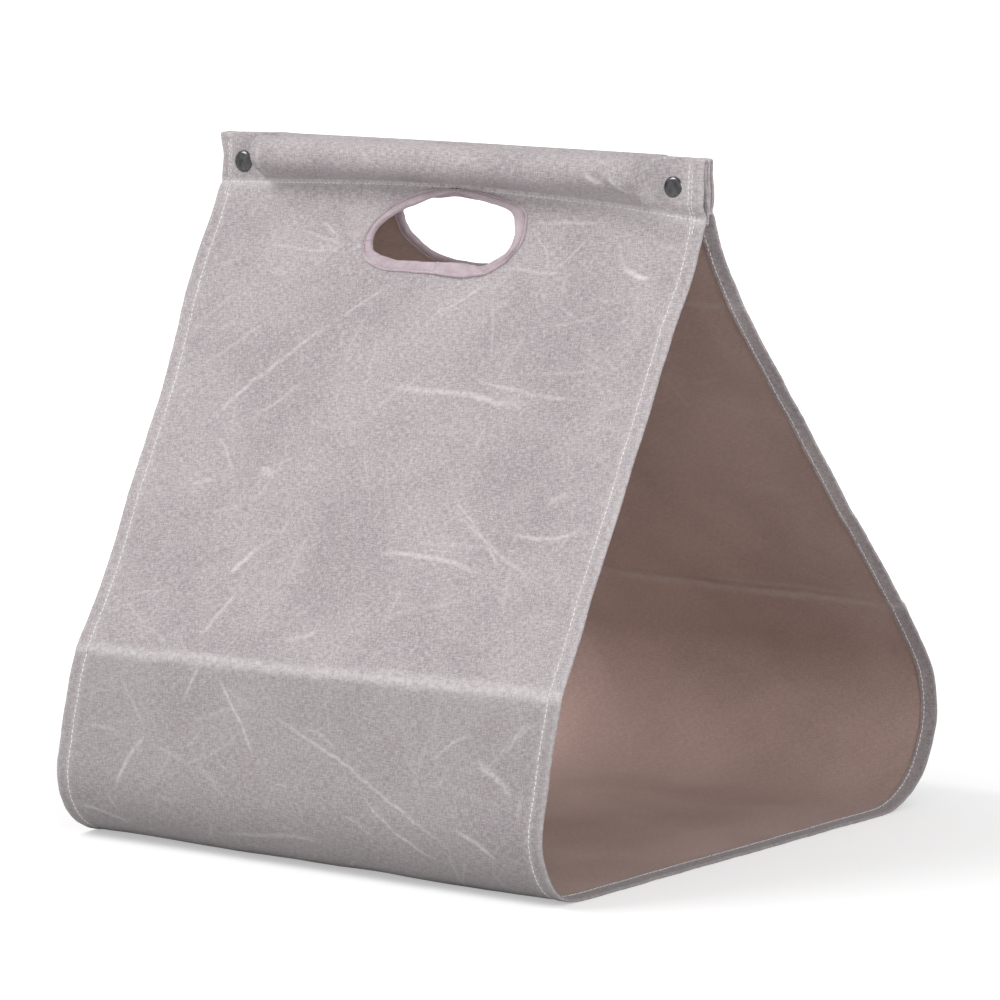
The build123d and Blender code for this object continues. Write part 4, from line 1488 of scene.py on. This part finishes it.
class CARRIER_OT_bindings(bpy.types.Operator):
    """Makes the tape that binds the edge of each hand hole, with its stitches"""

    bl_idname = "carrier.bindings"
    bl_label = "Hand Hole Bindings"

    def execute(self, context):
        for grid in grids().values():
            self.bind(grid)
        return {"FINISHED"}

    def bind(self, grid):
        """The tape's cut is a closed, flattened loop that wraps the cloth's edge. Each of its points has a
        share of the way from the clear edge to the tape's outer edge, and a height over the cloth. It is
        carried round the hole. Its own line of stitches presses a groove near the outer edge, small noises
        pucker it, and over a short stretch at the foot it is a layer thicker, where its two ends
        overlap."""
        wall = grid.wall
        heading, inner, outer = hole_rays(wall)
        edge = from_middle(heading, inner)
        around = path_length(np.vstack([edge, edge[:1]]))[:-1]
        total = float(around[-1] + np.linalg.norm(edge[0] - edge[-1]))
        turn = around / total * math.tau
        round_x, round_y = np.cos(turn) * total / math.tau, np.sin(turn) * total / math.tau
        share, height, groove = (values[:, None] for values in np.array(TAPE_SECTION).T)
        x, down = edge[:, 0], edge[:, 1]
        at_foot = smooth_rise(down, *TAPE_FOOT)
        joint = at_foot * smooth_rise(x, *JOINT_START) * (1 - smooth_rise(x, *JOINT_END))
        grooved = 1 - 0.85 * at_foot * (wall is FRONT)
        pucker = cloth_noise(round_x, round_y, 4.5 * MM, 91) * TAPE_PUCKER
        ripple = cloth_noise(round_x, round_y, 11 * MM, 92) * 0.5 * MM
        ripple = ripple + cloth_noise(round_x, round_y, 4 * MM, 93) * 0.25 * MM
        side = np.where(height > -0.6, 1, -1)
        lift = height * MM - side * groove * MM * grooved
        lift = lift + side * (np.abs(height + 0.6) > 0.7) * (pucker + JOINT_RISE * joint)
        reach = inner + share * (outer - inner) + (np.abs(share - 0.5) * 2 * ripple)
        place = from_middle(np.broadcast_to(heading, reach.shape), reach)
        surface, outward = grid.sample(place[..., 0], self.rows_for(grid, place))
        points = surface + outward * lift[..., None]
        quads = grid_faces(*points.shape[:2], wrap_columns=True, wrap_rows=True).reshape(-1, 4)
        middle = points.mean(axis=0, keepdims=True)
        flat_points = points.reshape(-1, 3)
        quads = outward_order(flat_points, quads, (points - middle).reshape(-1, 3))
        piece = new_object(f"{wall.name}_hole_tape", flat_points, quads.tolist(), [tape_finish()], sharp=60)
        over = path_length(np.concatenate([share * 7 * MM, height * MM], axis=1))
        flat = np.stack(np.broadcast_arrays(around[None, :], over[:, None]), axis=2)
        give_cloth_map(piece, flat.reshape(-1, 2))
        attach(piece, f"{wall.name}_wall")
        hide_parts(f"{wall.name}_hole_binding")
        self.sew(grid, heading, inner, outer)

    def rows_for(self, grid, place):
        """The grid row at each place down from the seam, read from the column nearest to it."""
        last = len(grid.columns) - 1
        column = np.round(np.interp(place[..., 0], grid.columns, np.arange(last + 1))).astype(int)
        down = place[..., 1]
        first = grid.seam_row - HOLE_SEARCH_ROWS
        window = grid.level[column][..., first : grid.seam_row + 4]
        below = np.sum(window > down[..., None], axis=-1)
        index = np.clip(first + below - 1, 0, grid.length.shape[1] - 2)
        high = grid.level[column, index]
        low = grid.level[column, index + 1]
        return index + np.clip((high - down) / np.maximum(high - low, 1e-9), 0, 1)

    def sew(self, grid, heading, inner, outer):
        """A line of small stitches round the tape, in the groove near its outer edge."""
        wall = grid.wall
        place = from_middle(heading, inner + (outer - inner) * TAPE_STITCHES_AT)
        surface, outward = grid.sample(place[:, 0], self.rows_for(grid, place))
        raised = surface + outward * 1.0 * MM
        points, ups = (np.vstack([line, line[:1]]) for line in (raised, outward))
        centres, ahead, up = spaced_along(points, ups, stitching().pitch * 0.8, 0)
        piece = stitch_piece(
            f"{wall.name}_tape_stitches", centres, ahead, up, tape_thread_finish(),
            stitching().length * TAPE_STITCH_SCALE, stitching().radius * TAPE_STITCH_SCALE,
        )
        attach(piece, f"{wall.name}_wall")


def turned_piece(name, profile, centre, facing, material, sides=64, lean=(0.0, 0.0)):
    """A turned piece: a profile of radii and heights spun about an axis that faces along Y.
    It starts and ends on the axis, so it is closed. Lean tips the axis a little across and up."""
    radii, heights = np.array(profile).T * MM
    turn = np.arange(sides) * math.tau / sides
    axis = unit(np.array([lean[0], facing, lean[1]]))
    first = unit(np.cross(axis, [0, 0, 1.0]))
    second = np.cross(axis, first)
    around = first * np.cos(turn)[:, None] + second * np.sin(turn)[:, None]
    centre = np.array(centre)
    rings = centre + radii[1:-1, None, None] * around + heights[1:-1, None, None] * axis
    poles = centre + heights[[0, -1], None] * axis
    points = np.vstack([rings.reshape(-1, 3), poles])
    quads = grid_faces(len(rings), sides, wrap_columns=True).reshape(-1, 4)
    ordered = outward_order(points, quads, points - (centre + axis * heights.mean()))
    ring = np.arange(sides)
    after = (ring + 1) % sides
    pole, last = len(rings) * sides, (len(rings) - 1) * sides
    first_fan = np.stack([np.full(sides, pole), ring, after], axis=1)
    last_fan = np.stack([np.full(sides, pole + 1), last + after, last + ring], axis=1)
    fans = np.concatenate([first_fan, last_fan])
    if ordered is not quads:
        fans = fans[:, ::-1]
    return new_object(name, points, ordered.tolist() + fans.tolist(), [material], sharp=40)


def give_finish(name, material):
    """Gives a fixed node of the frame its material."""
    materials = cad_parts[name].data.materials
    materials.clear()
    materials.append(material)


# The cap's dome and how each cap tips: (radius, drop from its top) in mm, and (hand, side, lean across
# and up)
CAP_DOME = ((0, 0), (1.5, 0.02), (3.0, 0.08), (4.4, 0.18), (5.3, 0.33), (6.0, 0.58), (6.6, 0.92), (7.05, 1.35))
CAP_TIPS = (("left", -1, (0.02, 0.03)), ("right", 1, (0.03, -0.04)))


class CARRIER_OT_press_studs(bpy.types.Operator):
    """Makes the domed caps of the press studs and finishes their sockets, springs, studs and posts"""

    bl_idname = "carrier.press_studs"
    bl_label = "Press Studs"

    def execute(self, context):
        rise = fittings().cap_rise / MM
        edge = CAP_RADIUS / MM
        profile = [(radius, rise - drop) for radius, drop in CAP_DOME]
        profile += [(edge, rise - 1.85), (edge, 0.5), (edge - 0.15, 0.1)]
        profile += [(edge - 0.6, -0.1), (2.2, -0.1), (0, -0.1)]
        outer = -(FRONT.ridge + RIDGE_TO_OUTER_FACE)
        for hand, side, lean in CAP_TIPS:
            centre = (side * CAP_ACROSS, outer, CAP_HEIGHT)
            cap = turned_piece(f"cap_{hand}", profile, centre, -1, cap_finish(), lean=lean)
            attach(cap, "front_ridge")
            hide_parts(f"snap_cap_{hand}")
            for part in ("socket", "spring", "stud", "post"):
                give_finish(f"snap_{part}_{hand}", stud_finish())
        return {"FINISHED"}


class CARRIER_OT_dowels(bpy.types.Operator):
    """Gives the two dowels their wood"""

    bl_idname = "carrier.dowels"
    bl_label = "Dowels"

    def execute(self, context):
        for wall in WALLS:
            give_finish(f"{wall.name}_dowel", wood_finish())
        return {"FINISHED"}


class CARRIER_OT_declare(bpy.types.Operator):
    """Looks up the stitches, tape and tape stitches on each stretch of cloth, and changes nothing"""

    bl_idname = "carrier.declare_cloth"
    bl_label = "Cloth Sizes"

    def execute(self, context):
        for grid in grids().values():
            wall = grid.wall.name
            for name, first, last, *_ in stretches(grid):
                going = [bpy.data.objects[f"{wall}_{name}_stitches"]]
                if name == "wall":
                    going += [bpy.data.objects[f"{wall}_hole_tape"], bpy.data.objects[f"{wall}_tape_stitches"]]
        return {"FINISHED"}


def aim(thing, place, target):
    """Puts a lamp or camera at a place and turns it so that it looks at the target, upright."""
    ahead = unit(np.array(target, float) - np.array(place, float))
    aside = unit(np.cross(ahead, [0, 0, 1.0]))
    matrix = np.eye(4)
    matrix[:3] = np.stack([aside, np.cross(aside, ahead), -ahead, place], axis=1)
    thing.matrix_world = Matrix(matrix.tolist())


FLOOR_HALF = 14.0
FLOOR_LEVEL = -0.4 * MM
LAMP_AIM = (0, 0, 0.2)
# The square lamps: (name, place, side in metres, the setting that holds its power)
LAMPS = (
    ("key_lamp", (-1.7, -2.0, 3.1), 1.9, "key_power"),
    ("fill_lamp", (2.6, -1.6, 1.4), 1.6, "fill_power"),
)
SENSOR_WIDTH = 36.0


class CARRIER_OT_stage(bpy.types.Operator):
    """Makes the floor, the white surroundings, the lamps and the camera"""

    bl_idname = "carrier.stage"
    bl_label = "Stage"

    def execute(self, context):
        stage = context.scene.carrier_stage
        self.make_floor(stage)
        self.make_world(stage)
        for name, place, size, power in LAMPS:
            self.make_lamp(name, place, size, getattr(stage, power))
        self.make_camera(stage)
        context.scene.view_settings.view_transform = "Standard"
        return {"FINISHED"}

    def make_floor(self, stage):
        """A wide square just under the cloth, which glows for the camera alone, more the farther it is
        away."""
        corners = ((-1, -1), (1, -1), (1, 1), (-1, 1))
        points = [(x * FLOOR_HALF, y * FLOOR_HALF, FLOOR_LEVEL) for x, y in corners]
        nodes = new_material("pale_floor")
        place = nodes.object_place()
        shade = nodes.ramp(nodes.noise(place, 3.0), 0.3, 0.7, 0.0, 0.02)
        tone = nodes.mix(shade, solid(stage.floor_colour), on_screen(208, 208, 208))
        seen = nodes.node("ShaderNodeLightPath").outputs["Is Camera Ray"]
        away = nodes.node("ShaderNodeVectorMath", {0: place}, operation="LENGTH").outputs["Value"]
        glow = nodes.math("MULTIPLY", seen, nodes.ramp(away, 0.35, 1.6, 0.42, 0.95))
        material = nodes.surface(colour=tone, roughness=0.9, specular=0.0, emission=(1, 1, 1, 1), glow=glow)
        floor = new_object("stage_floor", points, [(0, 1, 2, 3)], [material])

    def make_world(self, stage):
        """Even white light from all round, and a pure white where the camera sees past everything."""
        world = bpy.data.worlds.new("white_surroundings")
        world.use_nodes = True
        bpy.context.scene.world = world
        nodes = Nodes(world.node_tree)
        seen = nodes.node("ShaderNodeLightPath").outputs["Is Camera Ray"]
        strength = nodes.math("MULTIPLY_ADD", seen, 1.0 - stage.world_strength, stage.world_strength)
        background = world.node_tree.nodes["Background"]
        background.inputs["Color"].default_value = (1, 1, 1, 1)
        nodes.join(strength, background.inputs["Strength"])

    def make_lamp(self, name, place, size, power):
        """A square area lamp that looks at the middle of the carrier."""
        data = bpy.data.lights.new(name, "AREA")
        data.shape = "SQUARE"
        data.size = size
        data.energy = power
        lamp = bpy.data.objects.new(name, data)
        bpy.context.scene.collection.objects.link(lamp)
        aim(lamp, place, LAMP_AIM)

    def make_camera(self, stage):
        """The camera at its turn, height and distance round the point that it looks at."""
        data = bpy.data.cameras.new("camera")
        data.lens = stage.lens
        data.sensor_width = SENSOR_WIDTH
        camera = bpy.data.objects.new("camera", data)
        bpy.context.scene.collection.objects.link(camera)
        target = np.array([stage.aim_across, 0, stage.aim_height])
        back = np.array([
            math.sin(stage.azimuth) * math.cos(stage.elevation),
            -math.cos(stage.azimuth) * math.cos(stage.elevation),
            math.sin(stage.elevation),
        ])
        aim(camera, target + back * stage.distance, target)
        bpy.context.scene.camera = camera


SETTINGS = (
    ("carrier_cloth", CarrierClothSettings),
    ("carrier_stitches", CarrierStitchSettings),
    ("carrier_fittings", CarrierFittingSettings),
    ("carrier_stage", CarrierStageSettings),
)
OPERATORS = (
    CARRIER_OT_cloth,
    CARRIER_OT_stitches,
    CARRIER_OT_bindings,
    CARRIER_OT_press_studs,
    CARRIER_OT_dowels,
    CARRIER_OT_declare,
    CARRIER_OT_stage,
)


class CARRIER_PT_panel(bpy.types.Panel):
    """Lists the carrier's settings and the steps that make it"""

    bl_idname = "CARRIER_PT_panel"
    bl_label = "Log Carrier"
    bl_space_type = "VIEW_3D"
    bl_region_type = "UI"
    bl_category = "Log Carrier"

    def draw(self, context):
        for name, group in SETTINGS:
            box = self.layout.box()
            settings = getattr(context.scene, name)
            for prop in group.__annotations__:
                box.prop(settings, prop)
        for operator in OPERATORS:
            self.layout.operator(operator.bl_idname)


CLASSES = tuple(group for _, group in SETTINGS) + OPERATORS + (CARRIER_PT_panel,)


def register():
    for item in CLASSES:
        bpy.utils.register_class(item)
    for name, group in SETTINGS:
        setattr(bpy.types.Scene, name, bpy.props.PointerProperty(type=group))


def unregister():
    for name, _ in SETTINGS:
        delattr(bpy.types.Scene, name)
    for item in reversed(CLASSES):
        bpy.utils.unregister_class(item)


def main():
    """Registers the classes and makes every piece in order."""
    register()
    bpy.ops.carrier.cloth()
    bpy.ops.carrier.stitches()
    bpy.ops.carrier.bindings()
    bpy.ops.carrier.press_studs()
    bpy.ops.carrier.dowels()
    bpy.ops.carrier.declare_cloth()
    bpy.ops.carrier.stage()


if __name__ == "__main__":
    main()
